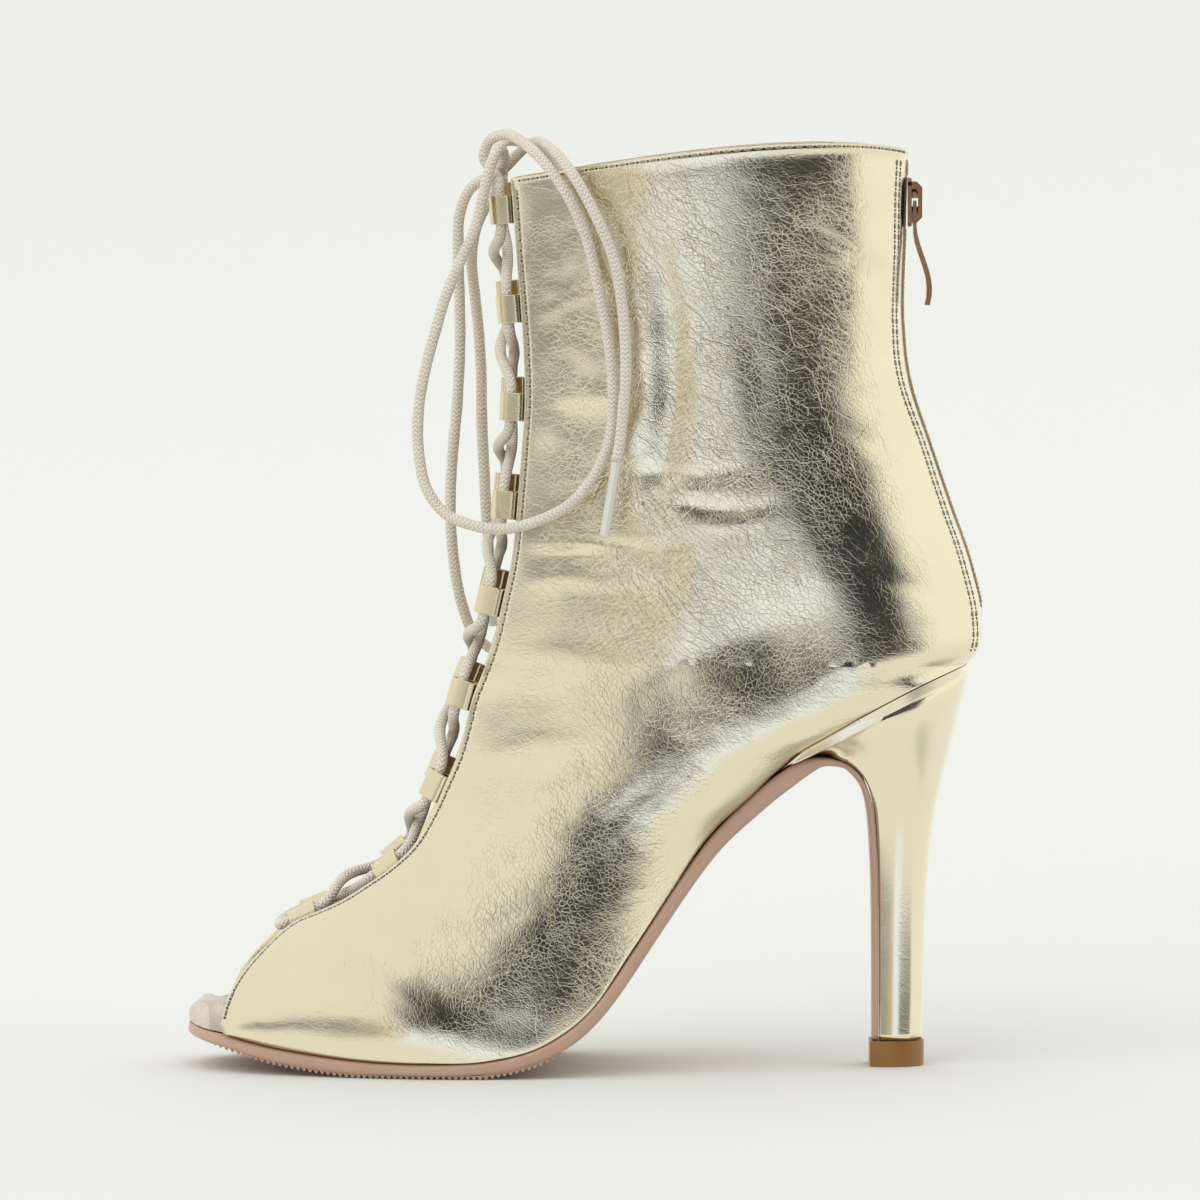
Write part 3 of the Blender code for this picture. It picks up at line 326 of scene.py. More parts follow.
# Leather that was cut and left raw: a pale matt core
cut_edge = napped("pale_cut_leather_edge", "#D9CFAF", "#B9AC86", 1500.0, 0.6, 0.00008)
# The fleshy back of the loops' leather, inside the loops, coloured brown as painted shade
loop_inside_shade = napped("painted_shade_loop_inside", "#8A6A46", "#694C2E", 1300.0, 0.75, 0.00012)
# Brushed lining leather inside the upper: soft, matt and clouded
lining = napped("tan_pigskin_lining", "#C9B18E", "#AD9270", 1100.0, 0.8, 0.00015)
# Brushed fine-fibre cloth on the footbed: a dry nap that catches light at its rim
suede = napped("beige_microsuede", "#DFD5C9", "#C4B6A6", 1800.0, 0.95, 0.00020)
# Woven polyester tape beside the zip: flat, with a faint rib
zip_cloth = napped("woven_zip_tape", "#B6A27F", "#8F7C5C", 2200.0, 0.85, 0.00015)
# Twisted sewing thread: slightly shiny grey dashes
thread = napped("grey_polyester_thread", "#A8A592", "#7E7B69", 3000.0, 0.6, 0.00006)
# Painted shade in each needle hole: a dark dot between two stitches
needle_hole_shade = napped("painted_needle_hole_shade", "#4F4937", "#39341F", 3000.0, 0.7, 0.00004)
# Thermoplastic rubber from a mould: satin, pinkish beige and even
sole_rubber = moulded("nude_moulded_rubber", "#C4A491", "#B5927D", 0.42)
# Hard urethane of the heel's tip: darker and glossier than the sole
tip_rubber = moulded("tan_moulded_urethane", "#9C7038", "#875C28", 0.36)
# Plastic film shrunk round the cord's end: milky under a clear glossy skin
resin = moulded("milky_shrunk_plastic", "#E0DED3", "#CFCDC0", 0.28, 0.4)
# Coiled nylon of the zip: small round highlights
zip_teeth = moulded("tan_nylon_coil", "#CBB28D", "#A78D68", 0.38)
# Die cast zinc, tumbled and plated rose gold: dark reflections with bright rims
rose_gold = plated("rose_gold_plate", "#A67E5E", "#6E5034", 0.13)
# Cotton braided over a core and waxed: cream, matt, with a small V pattern, darker where the strands dip as
# painted shade
cotton = braid("braided_waxed_cotton", "#F0E8DA", "#BFB09B")


# Mesh helpers

def points_of(mesh):
    """All of a mesh's points as an array."""
    flat = np.zeros(len(mesh.vertices) * 3)
    mesh.vertices.foreach_get("co", flat)
    return flat.reshape(-1, 3)


def set_points(mesh, points):
    mesh.vertices.foreach_set("co", np.asarray(points, float).ravel())
    mesh.update()


def normals_of(mesh):
    flat = np.zeros(len(mesh.vertices) * 3, np.float32)
    mesh.vertex_normals.foreach_get("vector", flat)
    return flat.reshape(-1, 3).astype(float)


def piece_from(name, shape, finishes):
    """Makes a bmesh into a smooth piece with these materials."""
    mesh = bpy.data.meshes.new(name)
    shape.to_mesh(mesh)
    shape.free()
    for finish in finishes:
        mesh.materials.append(finish)
    mesh.shade_smooth()
    piece = bpy.data.objects.new(name, mesh)
    bpy.context.scene.collection.objects.link(piece)
    return piece


def soften(piece):
    """Rounds a piece by two steps of subdivision."""
    soft = piece.modifiers.new("soft", "SUBSURF")
    soft.levels = soft.render_levels = 2


def round_edges(piece, width, segments, degrees):
    """Rounds the edges of a piece that turn by more than some degrees."""
    edge = piece.modifiers.new("edge", "BEVEL")
    edge.width = width
    edge.segments = segments
    edge.limit_method = "ANGLE"
    edge.angle_limit = math.radians(degrees)


def bake_modifiers(piece):
    """Replaces a piece's mesh by what its modifiers make of it."""
    depsgraph = bpy.context.evaluated_depsgraph_get()
    made = bpy.data.meshes.new_from_object(piece.evaluated_get(depsgraph))
    piece.modifiers.clear()
    old = piece.data
    piece.data = made
    bpy.data.meshes.remove(old)
    return piece


def merged_copy(name):
    """A CAD node's mesh with its loose triangles merged into quads."""
    shape = bmesh.new()
    shape.from_mesh(nodes[name].data)
    bmesh.ops.remove_doubles(shape, verts=shape.verts, dist=2e-6)
    bmesh.ops.join_triangles(shape, faces=shape.faces, angle_face_threshold=math.radians(35),
                             angle_shape_threshold=math.radians(60))
    return shape


def crease_sharp(shape, angle, hold):
    """Holds the sharp edges of a shape when it is subdivided, fully where hold is 1."""
    layer = shape.edges.layers.float.get("crease_edge") or shape.edges.layers.float.new("crease_edge")
    for edge in shape.edges:
        if len(edge.link_faces) == 2 and edge.calc_face_angle(0.0) > angle:
            edge[layer] = hold


def pebble(u_segments, v_segments):
    """A small round mesh, the start of each stitch and of each turn of the coil."""
    shape = bmesh.new()
    bmesh.ops.create_uvsphere(shape, u_segments=u_segments, v_segments=v_segments, radius=0.5)
    mesh = bpy.data.meshes.new("pebble")
    shape.to_mesh(mesh)
    shape.free()
    return mesh


def stamp(shape, mesh, place, axes, sizes):
    """Adds a copy of a small mesh to a shape, turned to three axes and sized along them."""
    turned = Matrix(axes).transposed().to_4x4() @ Matrix.Diagonal((*sizes, 1.0))
    copy = mesh.copy()
    copy.transform(Matrix.Translation(place) @ turned)
    shape.from_mesh(copy)
    bpy.data.meshes.remove(copy)


def settle(piece, body, slot, *stands_for):
    """Rides a piece on its body and hides the nodes that it stands for. The slot is not used."""
    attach(piece, body)
    if stands_for:
        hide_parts(*stands_for)
    return piece


# The upper

# The sole's outline from toe to seat. "along" is a share of LENGTH from the toe,
# "top" a share of HEEL_HEIGHT, "sheet" a share of SOLE, the two sides are shares of
# BALL_WIDTH. Both ends are round, because the widths are read against the turn of a
# half circle.
SoleRow = namedtuple("SoleRow", "along top sheet lateral medial")
SOLE_ROWS = [
    SoleRow(0.000, 0.107, 0.58, -0.045, 0.060),
    SoleRow(0.020, 0.102, 0.66, 0.160, 0.238),
    SoleRow(0.049, 0.091, 0.80, 0.245, 0.304),
    SoleRow(0.102, 0.070, 0.95, 0.333, 0.385),
    SoleRow(0.155, 0.055, 1.00, 0.388, 0.434),
    SoleRow(0.224, 0.041, 1.00, 0.440, 0.472),
    SoleRow(0.299, 0.037, 1.00, 0.477, 0.489),
    SoleRow(0.381, 0.045, 1.00, 0.490, 0.477),
    SoleRow(0.454, 0.087, 0.95, 0.470, 0.440),
    SoleRow(0.513, 0.178, 0.86, 0.430, 0.388),
    SoleRow(0.557, 0.304, 0.84, 0.380, 0.333),
    SoleRow(0.604, 0.440, 0.84, 0.322, 0.278),
    SoleRow(0.651, 0.577, 0.93, 0.290, 0.256),
    SoleRow(0.708, 0.686, 1.09, 0.284, 0.262),
    SoleRow(0.755, 0.776, 1.15, 0.300, 0.288),
    SoleRow(0.808, 0.843, 1.15, 0.325, 0.317),
    SoleRow(0.866, 0.908, 1.15, 0.341, 0.336),
    SoleRow(0.921, 0.963, 1.15, 0.308, 0.306),
    SoleRow(0.955, 0.990, 1.15, 0.225, 0.225),
    SoleRow(0.982, 1.007, 1.15, 0.000, 0.000),
]

# Sections of the shaft, each from the back seam to the throat's edge. The x values
# are shares of LENGTH, the z values shares of SHAFT_HEIGHT above the seat. "widest"
# is the share of the section at which it is as wide as "width" of SHAFT_WIDTH.
ShaftRow = namedtuple("ShaftRow", "back_x back_z edge_x edge_z width widest gap rise")
SHAFT_ROWS = [
    ShaftRow(0.903, 0.986, 0.408, 0.933, 1.000, 0.50, 0.97, 0.030),
    ShaftRow(0.900, 0.829, 0.414, 0.796, 0.985, 0.50, 0.98, 0.014),
    ShaftRow(0.898, 0.658, 0.422, 0.644, 0.970, 0.49, 0.99, 0.004),
    ShaftRow(0.908, 0.538, 0.425, 0.511, 0.965, 0.47, 1.00, 0.000),
    ShaftRow(0.931, 0.431, 0.421, 0.416, 0.970, 0.44, 1.00, 0.000),
    ShaftRow(0.959, 0.306, 0.416, 0.321, 0.985, 0.40, 1.00, 0.000),
    ShaftRow(0.984, 0.196, 0.409, 0.214, 1.005, 0.36, 1.00, 0.000),
    ShaftRow(0.999, 0.086, 0.396, 0.121, 1.025, 0.32, 1.00, 0.000),
    ShaftRow(0.993, 0.024, 0.384, 0.045, 1.032, 0.30, 1.00, 0.000),
]
SLIT_END_ROW = 7

# Sections of the foot, each from the sole's outline at "along" up to the throat's
# edge. The edge is in shares of LENGTH and HEEL_HEIGHT, "swing" moves the throat
# toward the big toe, and it and the widths are shares of BALL_WIDTH.
FootRow = namedtuple("FootRow", "along edge_x edge_z lateral medial widest gap swing")
FOOT_ROWS = [
    FootRow(0.982, 0.378, 1.022, 0.391, 0.391, 0.29, 1.00, 0.000),
    FootRow(0.955, 0.371, 0.985, 0.392, 0.391, 0.28, 0.98, 0.000),
    FootRow(0.921, 0.361, 0.937, 0.393, 0.390, 0.28, 0.97, 0.000),
    FootRow(0.866, 0.352, 0.868, 0.394, 0.389, 0.29, 0.95, 0.000),
    FootRow(0.808, 0.340, 0.782, 0.395, 0.388, 0.31, 0.93, 0.000),
    FootRow(0.755, 0.325, 0.712, 0.398, 0.388, 0.34, 0.90, 0.000),
    FootRow(0.708, 0.310, 0.645, 0.404, 0.390, 0.36, 0.87, 0.002),
    FootRow(0.651, 0.286, 0.561, 0.415, 0.396, 0.37, 0.83, 0.005),
    FootRow(0.604, 0.256, 0.503, 0.431, 0.411, 0.35, 0.79, 0.009),
    FootRow(0.557, 0.222, 0.455, 0.451, 0.432, 0.31, 0.75, 0.012),
    FootRow(0.513, 0.192, 0.418, 0.471, 0.456, 0.26, 0.72, 0.015),
    FootRow(0.454, 0.161, 0.390, 0.490, 0.478, 0.21, 0.70, 0.018),
    FootRow(0.381, 0.139, 0.372, 0.501, 0.494, 0.18, 0.70, 0.020),
    FootRow(0.299, 0.117, 0.340, 0.489, 0.500, 0.17, 0.71, 0.020),
    FootRow(0.224, 0.096, 0.300, 0.455, 0.485, 0.17, 0.76, 0.022),
    FootRow(0.155, 0.075, 0.254, 0.404, 0.450, 0.17, 0.87, 0.025),
    FootRow(0.102, 0.059, 0.207, 0.352, 0.402, 0.17, 1.03, 0.027),
    FootRow(0.067, 0.049, 0.159, 0.303, 0.355, 0.17, 1.22, 0.028),
    FootRow(0.049, 0.045, 0.122, 0.270, 0.326, 0.17, 1.31, 0.028),
]
SEAT_SIDE_ROW = 3
THROAT_END_ROW = 12


def at_x(share):
    return (share - MIDDLE) * LENGTH


def cubic(near, far, near_slope, far_slope, share):
    """A smooth blend of two values, each with its slope over the whole span."""
    return (near * (2 * share**3 - 3 * share**2 + 1) + near_slope * (share**3 - 2 * share**2 + share)
            + far * (3 * share**2 - 2 * share**3) + far_slope * (share**3 - share**2))


def read_table(stops, column, key):
    """Reads a smooth value from a column whose stops rise."""
    slopes = np.gradient(column, stops)
    index = min(max(int(np.searchsorted(stops, key, side="right")) - 1, 0), len(stops) - 2)
    span = stops[index + 1] - stops[index]
    share = min(max((key - stops[index]) / span, 0.0), 1.0)
    return cubic(column[index], column[index + 1], slopes[index] * span, slopes[index + 1] * span, share)


def sole_top(along):
    stops = [row.along for row in SOLE_ROWS]
    return HEEL_HEIGHT * read_table(stops, [row.top for row in SOLE_ROWS], along)


def sole_clear(along):
    """Height above the sole's top that leaves the gap square to its slope."""
    slope = (sole_top(along + 0.004) - sole_top(along - 0.004)) / (0.008 * LENGTH)
    return sole_top(along) + GAP * math.sqrt(1 + slope * slope)


def sole_turn(along):
    return math.acos(1 - 2 * min(max(along / SOLE_ROWS[-1].along, 0.0), 1.0))


def sole_half(along, side):
    """Half width of the sole's outline on one side."""
    stops = [sole_turn(row.along) for row in SOLE_ROWS]
    column = [row.lateral if side < 0 else row.medial for row in SOLE_ROWS]
    return BALL_WIDTH * read_table(stops, column, sole_turn(along))


Section = namedtuple("Section", "foot_x foot_z edge_x edge_z lateral medial widest "
                                "foot_lateral foot_medial gap swing rise")


def upper_sections(collar_steps, shaft_steps, join_steps, seat_steps, foot_steps):
    """Sections of the upper from the collar to the toe, in metres."""
    rows = []
    for row in SHAFT_ROWS:
        half = row.width * SHAFT_WIDTH / 2
        rows.append(Section(at_x(row.back_x), HEEL_HEIGHT + row.back_z * SHAFT_HEIGHT, at_x(row.edge_x),
                            HEEL_HEIGHT + row.edge_z * SHAFT_HEIGHT, half, half, row.widest, 0.0, 0.0,
                            row.gap * THROAT_GAP / 2, 0.0, row.rise * SHAFT_HEIGHT))
    for row in FOOT_ROWS:
        rows.append(Section(at_x(row.along), sole_clear(row.along), at_x(row.edge_x),
                            row.edge_z * HEEL_HEIGHT, row.lateral * BALL_WIDTH,
                            row.medial * BALL_WIDTH, row.widest, 0.0, 0.0,
                            row.gap * THROAT_GAP / 2, row.swing * BALL_WIDTH, 0.0))
    table = np.array(rows)
    steps = (np.linalg.norm(np.diff(table[:, 0:2], axis=0), axis=1)
             + np.linalg.norm(np.diff(table[:, 2:4], axis=0), axis=1))
    stops = np.concatenate([[0.0], np.cumsum(steps)])
    slopes = np.gradient(table, stops, axis=0)
    slit_end = stops[SLIT_END_ROW]
    seat_back = stops[len(SHAFT_ROWS)]
    seat_side = stops[len(SHAFT_ROWS) + SEAT_SIDE_ROW]
    round_the_seat = (np.arange(1, seat_steps + 1) / seat_steps) ** 1.9
    first = COLLAR_FOLD * 1.7 if collar_steps else 0.0
    wanted = np.concatenate([
        np.linspace(0.0, first, collar_steps, endpoint=False),
        np.linspace(first, slit_end - 2 * SLIT_POINT, shaft_steps + 1),
        np.linspace(slit_end, seat_back, join_steps + 1),
        seat_back + (seat_side - seat_back) * round_the_seat,
        np.linspace(seat_side, stops[-1], foot_steps + 1)[1:]])
    sections = []
    for want in wanted:
        index = min(max(int(np.searchsorted(stops, want, side="right")) - 1, 0), len(stops) - 2)
        span = stops[index + 1] - stops[index]
        share = (want - stops[index]) / span
        section = Section(*cubic(table[index], table[index + 1], slopes[index] * span,
                                 slopes[index + 1] * span, share))
        if want < slit_end:
            slit = ZIP_CHAIN / 2 + 2 * GAP
            section = section._replace(foot_lateral=slit, foot_medial=slit)
        elif want <= seat_back:
            section = section._replace(foot_lateral=0.0, foot_medial=0.0)
        else:
            along = section.foot_x / LENGTH + MIDDLE
            section = section._replace(foot_z=sole_clear(along), foot_lateral=sole_half(along, -1),
                                       foot_medial=sole_half(along, 1))
        sections.append(section)
    throat_end = stops[len(SHAFT_ROWS) + THROAT_END_ROW]
    return sections, float(np.searchsorted(wanted, throat_end))


def section_point(section, side, turn):
    """A point of a section, from its foot at turn 0 to the throat's edge at turn 1."""
    wide = section.lateral if side < 0 else section.medial
    foot = section.foot_lateral if side < 0 else section.foot_medial
    edge = section.gap + side * section.swing
    start = math.asin(min(max(foot / wide, 0.0), 0.995) ** (1 / FULLNESS))
    end = math.pi - math.asin(min(edge / wide, 1.0) ** (1 / FULLNESS))
    angle = start + (end - start) * turn
    if angle < math.pi / 2:
        share = section.widest * (1 - math.cos(angle) / math.cos(start))
    else:
        share = section.widest + (1 - section.widest) * math.cos(angle) / math.cos(end)
    across = section.foot_x + (section.edge_x - section.foot_x) * share
    height = section.foot_z + (section.edge_z - section.foot_z) * share
    height += section.rise * math.sin(math.pi * share**RISE_LEAN)
    return Vector((across, side * wide * math.sin(angle) ** FULLNESS, height))


def even_turns(section, side, count, fold_count=0):
    """Turns that part a section into even steps, with some closer ones at the throat's edge."""
    turns = np.linspace(0.0, 1.0, 160)
    points = np.array([section_point(section, side, turn) for turn in turns])
    spans = np.linalg.norm(np.diff(points, axis=0), axis=1)
    stops = np.concatenate([[0.0], np.cumsum(spans)])
    fold = EDGE_FOLD if fold_count else 0.0
    marks = np.concatenate([np.linspace(0.0, stops[-1] - fold, count - fold_count + 1),
                            stops[-1] - fold * (1 - np.arange(1, fold_count + 1) / max(fold_count, 1))])
    return np.interp(marks, stops, turns), stops[-1]


def skin(shape, chains, closed=False):
    """Extrudes the first chain of points through all the others, and gives back its rows."""
    def pairs(row):
        return list(zip(row, row[1:] + row[:1])) if closed else list(zip(row, row[1:]))

    verts = [shape.verts.new(point) for point in chains[0]]
    edges = [shape.edges.new(pair) for pair in pairs(verts)]
    rows = [verts]
    for chain in chains[1:]:
        grown = bmesh.ops.extrude_edge_only(shape, edges=edges)["geom"]
        fresh = {item for item in grown if isinstance(item, bmesh.types.BMVert)}
        moved = []
        for vert, point in zip(verts, chain):
            twin = next(edge.other_vert(vert) for edge in vert.link_edges
                        if edge.other_vert(vert) in fresh)
            twin.co = point
            moved.append(twin)
        verts = moved
        rows.append(verts)
        edges = [shape.edges.get(pair) for pair in pairs(verts)]
    return rows


def nearest_reach(points, lines):
    """Distance of each point to the nearest of several dense lines."""
    tree = KDTree(sum(len(line) for line in lines))
    count = 0
    for line in lines:
        for place in line:
            tree.insert(place, count)
            count += 1
    tree.balance()
    return np.array([tree.find(point)[2] for point in points])


def dense(line, step):
    """A line with points about step apart."""
    line = np.asarray([tuple(point) for point in line], float)
    spans = np.linalg.norm(np.diff(line, axis=0), axis=1)
    stops = np.concatenate([[0.0], np.cumsum(spans)])
    wanted = np.linspace(0.0, stops[-1], max(2, int(stops[-1] / step)))
    return np.stack([np.interp(wanted, stops, line[:, axis]) for axis in range(3)], axis=1)


# The camera

def make_camera():
    """A long lens at the photograph's height, toe to the left."""
    data = bpy.data.cameras.new("view")
    data.lens = LENS
    data.sensor_width = SENSOR
    data.clip_end = 20.0
    camera = bpy.data.objects.new("view", data)
    bpy.context.scene.collection.objects.link(camera)
    camera.location = CAMERA_PLACE
    camera.rotation_euler = (Vector(CAMERA_AIM) - camera.location).to_track_quat("-Z", "Y").to_euler()
    bpy.context.scene.camera = camera


# The cords

# Routes of the bow's cords, in metres: across, depth, height.
BOW_NEAR = [
    (-0.0212, -0.0060, 0.2400), (-0.0212, -0.0082, 0.2421), (-0.0223, -0.0110, 0.2433),
    (-0.0241, -0.0129, 0.2404), (-0.0256, -0.0138, 0.2354), (-0.0271, -0.0144, 0.2288),
    (-0.0290, -0.0149, 0.2215), (-0.0325, -0.0154, 0.2140), (-0.0366, -0.0161, 0.2040),
    (-0.0391, -0.0168, 0.1955),
    (-0.0415, -0.0175, 0.1865), (-0.0436, -0.0180, 0.1740), (-0.0434, -0.0185, 0.1630),
    (-0.0413, -0.0200, 0.1540), (-0.0373, -0.0222, 0.1485), (-0.0305, -0.0260, 0.1452),
    (-0.0210, -0.0282, 0.1440), (-0.0120, -0.0300, 0.1462), (-0.0045, -0.0310, 0.1500),
    (0.0020, -0.0320, 0.1570), (0.0062, -0.0324, 0.1660), (0.0076, -0.0326, 0.1780),
    (0.0066, -0.0326, 0.1915), (0.0040, -0.0322, 0.2060), (0.0000, -0.0312, 0.2220),
    (-0.0050, -0.0300, 0.2325), (-0.0105, -0.0262, 0.2400), (-0.0163, -0.0170, 0.2452),
    (-0.0213, -0.0080, 0.2472), (-0.0254, -0.0032, 0.2450), (-0.0264, -0.0018, 0.2406),
]
END_NEAR = [
    (-0.0205, -0.0014, 0.2388), (-0.0178, -0.0023, 0.2417), (-0.0130, -0.0110, 0.2452),
    (-0.0086, -0.0226, 0.2434), (-0.0022, -0.0320, 0.2357), (0.0030, -0.0346, 0.2262),
    (0.0074, -0.0352, 0.2160), (0.0098, -0.0354, 0.2040), (0.0108, -0.0356, 0.1925),
    (0.0109, -0.0356, 0.1830), (0.0102, -0.0354, 0.1750), (0.0094, -0.0352, 0.1670),
    (0.0086, -0.0352, 0.1621),
]
BOW_FAR = [
    (-0.0265, 0.0009, 0.2353), (-0.0295, 0.0030, 0.2335), (-0.0328, 0.0062, 0.2270),
    (-0.0335, 0.0090, 0.2160), (-0.0332, 0.0115, 0.2040), (-0.0331, 0.0135, 0.1920),
    (-0.0338, 0.0150, 0.1770), (-0.0352, 0.0160, 0.1610), (-0.0358, 0.0170, 0.1500),
    (-0.0352, 0.0190, 0.1360), (-0.0328, 0.0230, 0.1215), (-0.0300, 0.0265, 0.1140),
    (-0.0240, 0.0310, 0.1085), (-0.0160, 0.0342, 0.1080), (-0.0085, 0.0350, 0.1130),
    (-0.0030, 0.0350, 0.1230), (0.0010, 0.0346, 0.1370), (0.0030, 0.0342, 0.1530),
    (0.0035, 0.0338, 0.1700), (0.0030, 0.0335, 0.1870), (0.0015, 0.0333, 0.2040),
    (-0.0010, 0.0328, 0.2200), (-0.0050, 0.0315, 0.2330), (-0.0100, 0.0270, 0.2410),
    (-0.0165, 0.0180, 0.2450), (-0.0216, 0.0085, 0.2449), (-0.0237, 0.0016, 0.2400),
]
END_FAR = [
    (-0.0238, -0.0004, 0.2325), (-0.0254, 0.0018, 0.2295), (-0.0288, 0.0085, 0.2220),
    (-0.0300, 0.0155, 0.2130), (-0.0292, 0.0200, 0.2040), (-0.0282, 0.0215, 0.1940),
    (-0.0276, 0.0215, 0.1840),
    (-0.0274, 0.0218, 0.1700), (-0.0268, 0.0224, 0.1570), (-0.0262, 0.0236, 0.1450),
    (-0.0256, 0.0250, 0.1350),
]
KNOT_PLACE = (-0.0232, -0.0010, 0.2365)
KNOT_SIZE = (0.0062, 0.0078, 0.0066)


def along_curve(points, where=None, count=None):
    """Reads a smooth curve through points, by shares of its length.

    With where, the shares are given; with count, they are even.
    """
    points = np.asarray(points, float)
    steps = np.linalg.norm(np.diff(points[:, :3], axis=0), axis=1)
    stops = np.concatenate([[0.0], np.cumsum(steps)])
    slopes = np.gradient(points, stops, axis=0)
    wanted = np.linspace(0.0, 1.0, count) if where is None else np.asarray(where)
    wanted = wanted * stops[-1]
    index = np.clip(np.searchsorted(stops, wanted, side="right") - 1, 0, len(stops) - 2)
    span = stops[index + 1] - stops[index]
    share = ((wanted - stops[index]) / span)[:, None]
    span = span[:, None]
    return cubic(points[index], points[index + 1], slopes[index] * span, slopes[index + 1] * span, share)


def edge_frames(sections, throat_end, side):
    """Places along the throat's edge with the directions down it, past it and outward."""
    spots = []
    for section in sections[: int(throat_end) + 2]:
        edge = section_point(section, side, 1.0)
        inside = section_point(section, side, EDGE_TURN)
        spots.append((*edge, *(edge - inside).normalized()))
    spots = np.array(spots)
    steps = np.linalg.norm(np.diff(spots[:, :3], axis=0), axis=1)
    return spots, np.concatenate([[0.0], np.cumsum(steps)])


def loop_frame(sections, throat_end, side, number):
    """Where one lace loop sits on the edge, and its three directions."""
    spots, stops = edge_frames(sections, throat_end, side)
    last = stops[int(throat_end)] - LAST_LOOP
    reach = FIRST_LOOP + (last - FIRST_LOOP) * number / (LOOP_COUNT - 1)
    if side == 1:
        reach -= LOOP_STAGGER
    here, ahead = along_curve(spots, where=[reach / stops[-1], (reach + 0.001) / stops[-1]])
    centre = Vector(here[:3])
    down = (Vector(ahead[:3]) - centre).normalized()
    past = Vector(here[3:6])
    past = (past - down * past.dot(down)).normalized()
    outward = down.cross(past) * side
    return centre, down, past, outward.normalized()


def loop_spot(frame, reach, depth, shift=0.0):
    """A point by its reach past the edge, its depth under the surface and its shift down."""
    centre, down, past, outward = frame
    return centre + past * reach - outward * depth + down * shift


def loop_profile(steps):
    """Outer and inner outline of a lace loop, as reach past the edge and depth.

    The band comes up beside the edge, lies flat over the lace and is folded round it.
    """
    hole = CORD + 2 * CORD_PLAY
    low = LOOP_DEPTH + hole / 2
    seat = WALL + LOOP_SEAT
    face = LOOP_DEPTH - CORD / 2 - LOOP_LEATHER
    middle = (face + low + LOOP_LEATHER) / 2
    half = low + LOOP_LEATHER - middle
    root = 0.34 * LOOP_REACH
    outer = [(-LOOP_TAB, seat + 2 * LOOP_LEATHER), (-LOOP_TAB, seat), (0.8 * GAP, seat),
             (GAP, 0.4 * WALL), (2 * GAP, 0.0), (0.3 * root, 0.5 * face), (0.65 * root, 0.9 * face)]
    inner = [(-0.5 * LOOP_TAB, seat + 1.1 * LOOP_LEATHER), (-0.3 * LOOP_TAB, seat + LOOP_LEATHER),
             (LOOP_LEATHER, seat + LOOP_LEATHER), (1.1 * LOOP_LEATHER, seat - 0.2 * LOOP_LEATHER),
             (1.3 * LOOP_LEATHER, 0.6 * WALL), (0.65 * root, 0.5 * face + LOOP_LEATHER),
             (0.85 * root, 0.9 * face + LOOP_LEATHER)]
    for step in range(steps + 1):
        # The fold is a fuller curve than an ellipse, so that the lace has its room
        angle = -math.pi / 2 + math.pi * step / steps
        wide = max(0.0, math.cos(angle)) ** 0.77
        tall = math.copysign(abs(math.sin(angle)) ** 0.77, angle)
        outer.append((root + (LOOP_REACH - root) * wide, middle + half * tall))
        inner.append((root + (LOOP_REACH - root - LOOP_LEATHER) * wide,
                      middle + (half - LOOP_LEATHER) * tall))
    outer.append((LOOP_LEATHER + hole / 2, low + LOOP_LEATHER))
    inner.append((LOOP_LEATHER + hole / 2, low))
    return outer, inner


def lace_route(frames):
    """The lace from the knot down one side through every loop, and up the other side."""
    hole = CORD + 2 * CORD_PLAY
    reach = LOOP_REACH - LOOP_LEATHER - hole / 2
    depth = LOOP_DEPTH
    half = LOOP_WIDTH / 2 + CORD_PLAY

    def through(side, number):
        frame = frames[side, number]
        return [loop_spot(frame, reach, depth, shift) for shift in (-half, 0.0, half)]

    def crossing(side, number, lift):
        """Where a strand from one row to the next passes the middle."""
        start = loop_spot(frames[side, number], reach, depth, half)
        stop = loop_spot(frames[-side, number + 1], reach, depth, -half)
        outward = frames[side, number][3] + frames[-side, number + 1][3]
        outward.y = 0.0
        return (start + stop) / 2 + outward.normalized() * (CROSSING_BOW + lift)

    def strand(side, lift):
        points = []
        for number in range(LOOP_COUNT):
            points += through(side, number)
            if number < LOOP_COUNT - 1:
                points.append(crossing(side, number, lift))
            side = -side
        return points

    lift = CORD / 2 + GAP
    down_way = strand(-1, lift)
    up_way = strand(1, -lift)
    for way in (down_way, up_way):
        way.append(way[-1] + (way[-1] - way[-2]).normalized() * BAR_SAG / 2)
    bar = (down_way[-1] + up_way[-1]) / 2 + (down_way[-1] - down_way[-2]).normalized() * BAR_SAG
    knot = Vector(KNOT_PLACE)
    ends = []
    for side in (-1, 1):
        above = loop_spot(frames[side, 0], reach, depth, -half - BAR_SAG)
        ends.append([knot + Vector((0.0, side * 0.54 * KNOT_SIZE[1], 0.0)), above])
    return ends[0] + down_way + [bar] + list(reversed(up_way)) + list(reversed(ends[1]))


def path_frames(path):
    """Directions along a path and across it, carried on without twist."""
    along = np.gradient(path, axis=0)
    along /= np.linalg.norm(along, axis=1)[:, None]
    across = np.cross(along[0], (0.3, 1.0, 0.2))
    sides = []
    for way in along:
        across = across - way * across.dot(way)
        across = across / np.linalg.norm(across)
        sides.append(across)
    sides = np.array(sides)
    return along, sides, np.cross(along, sides)


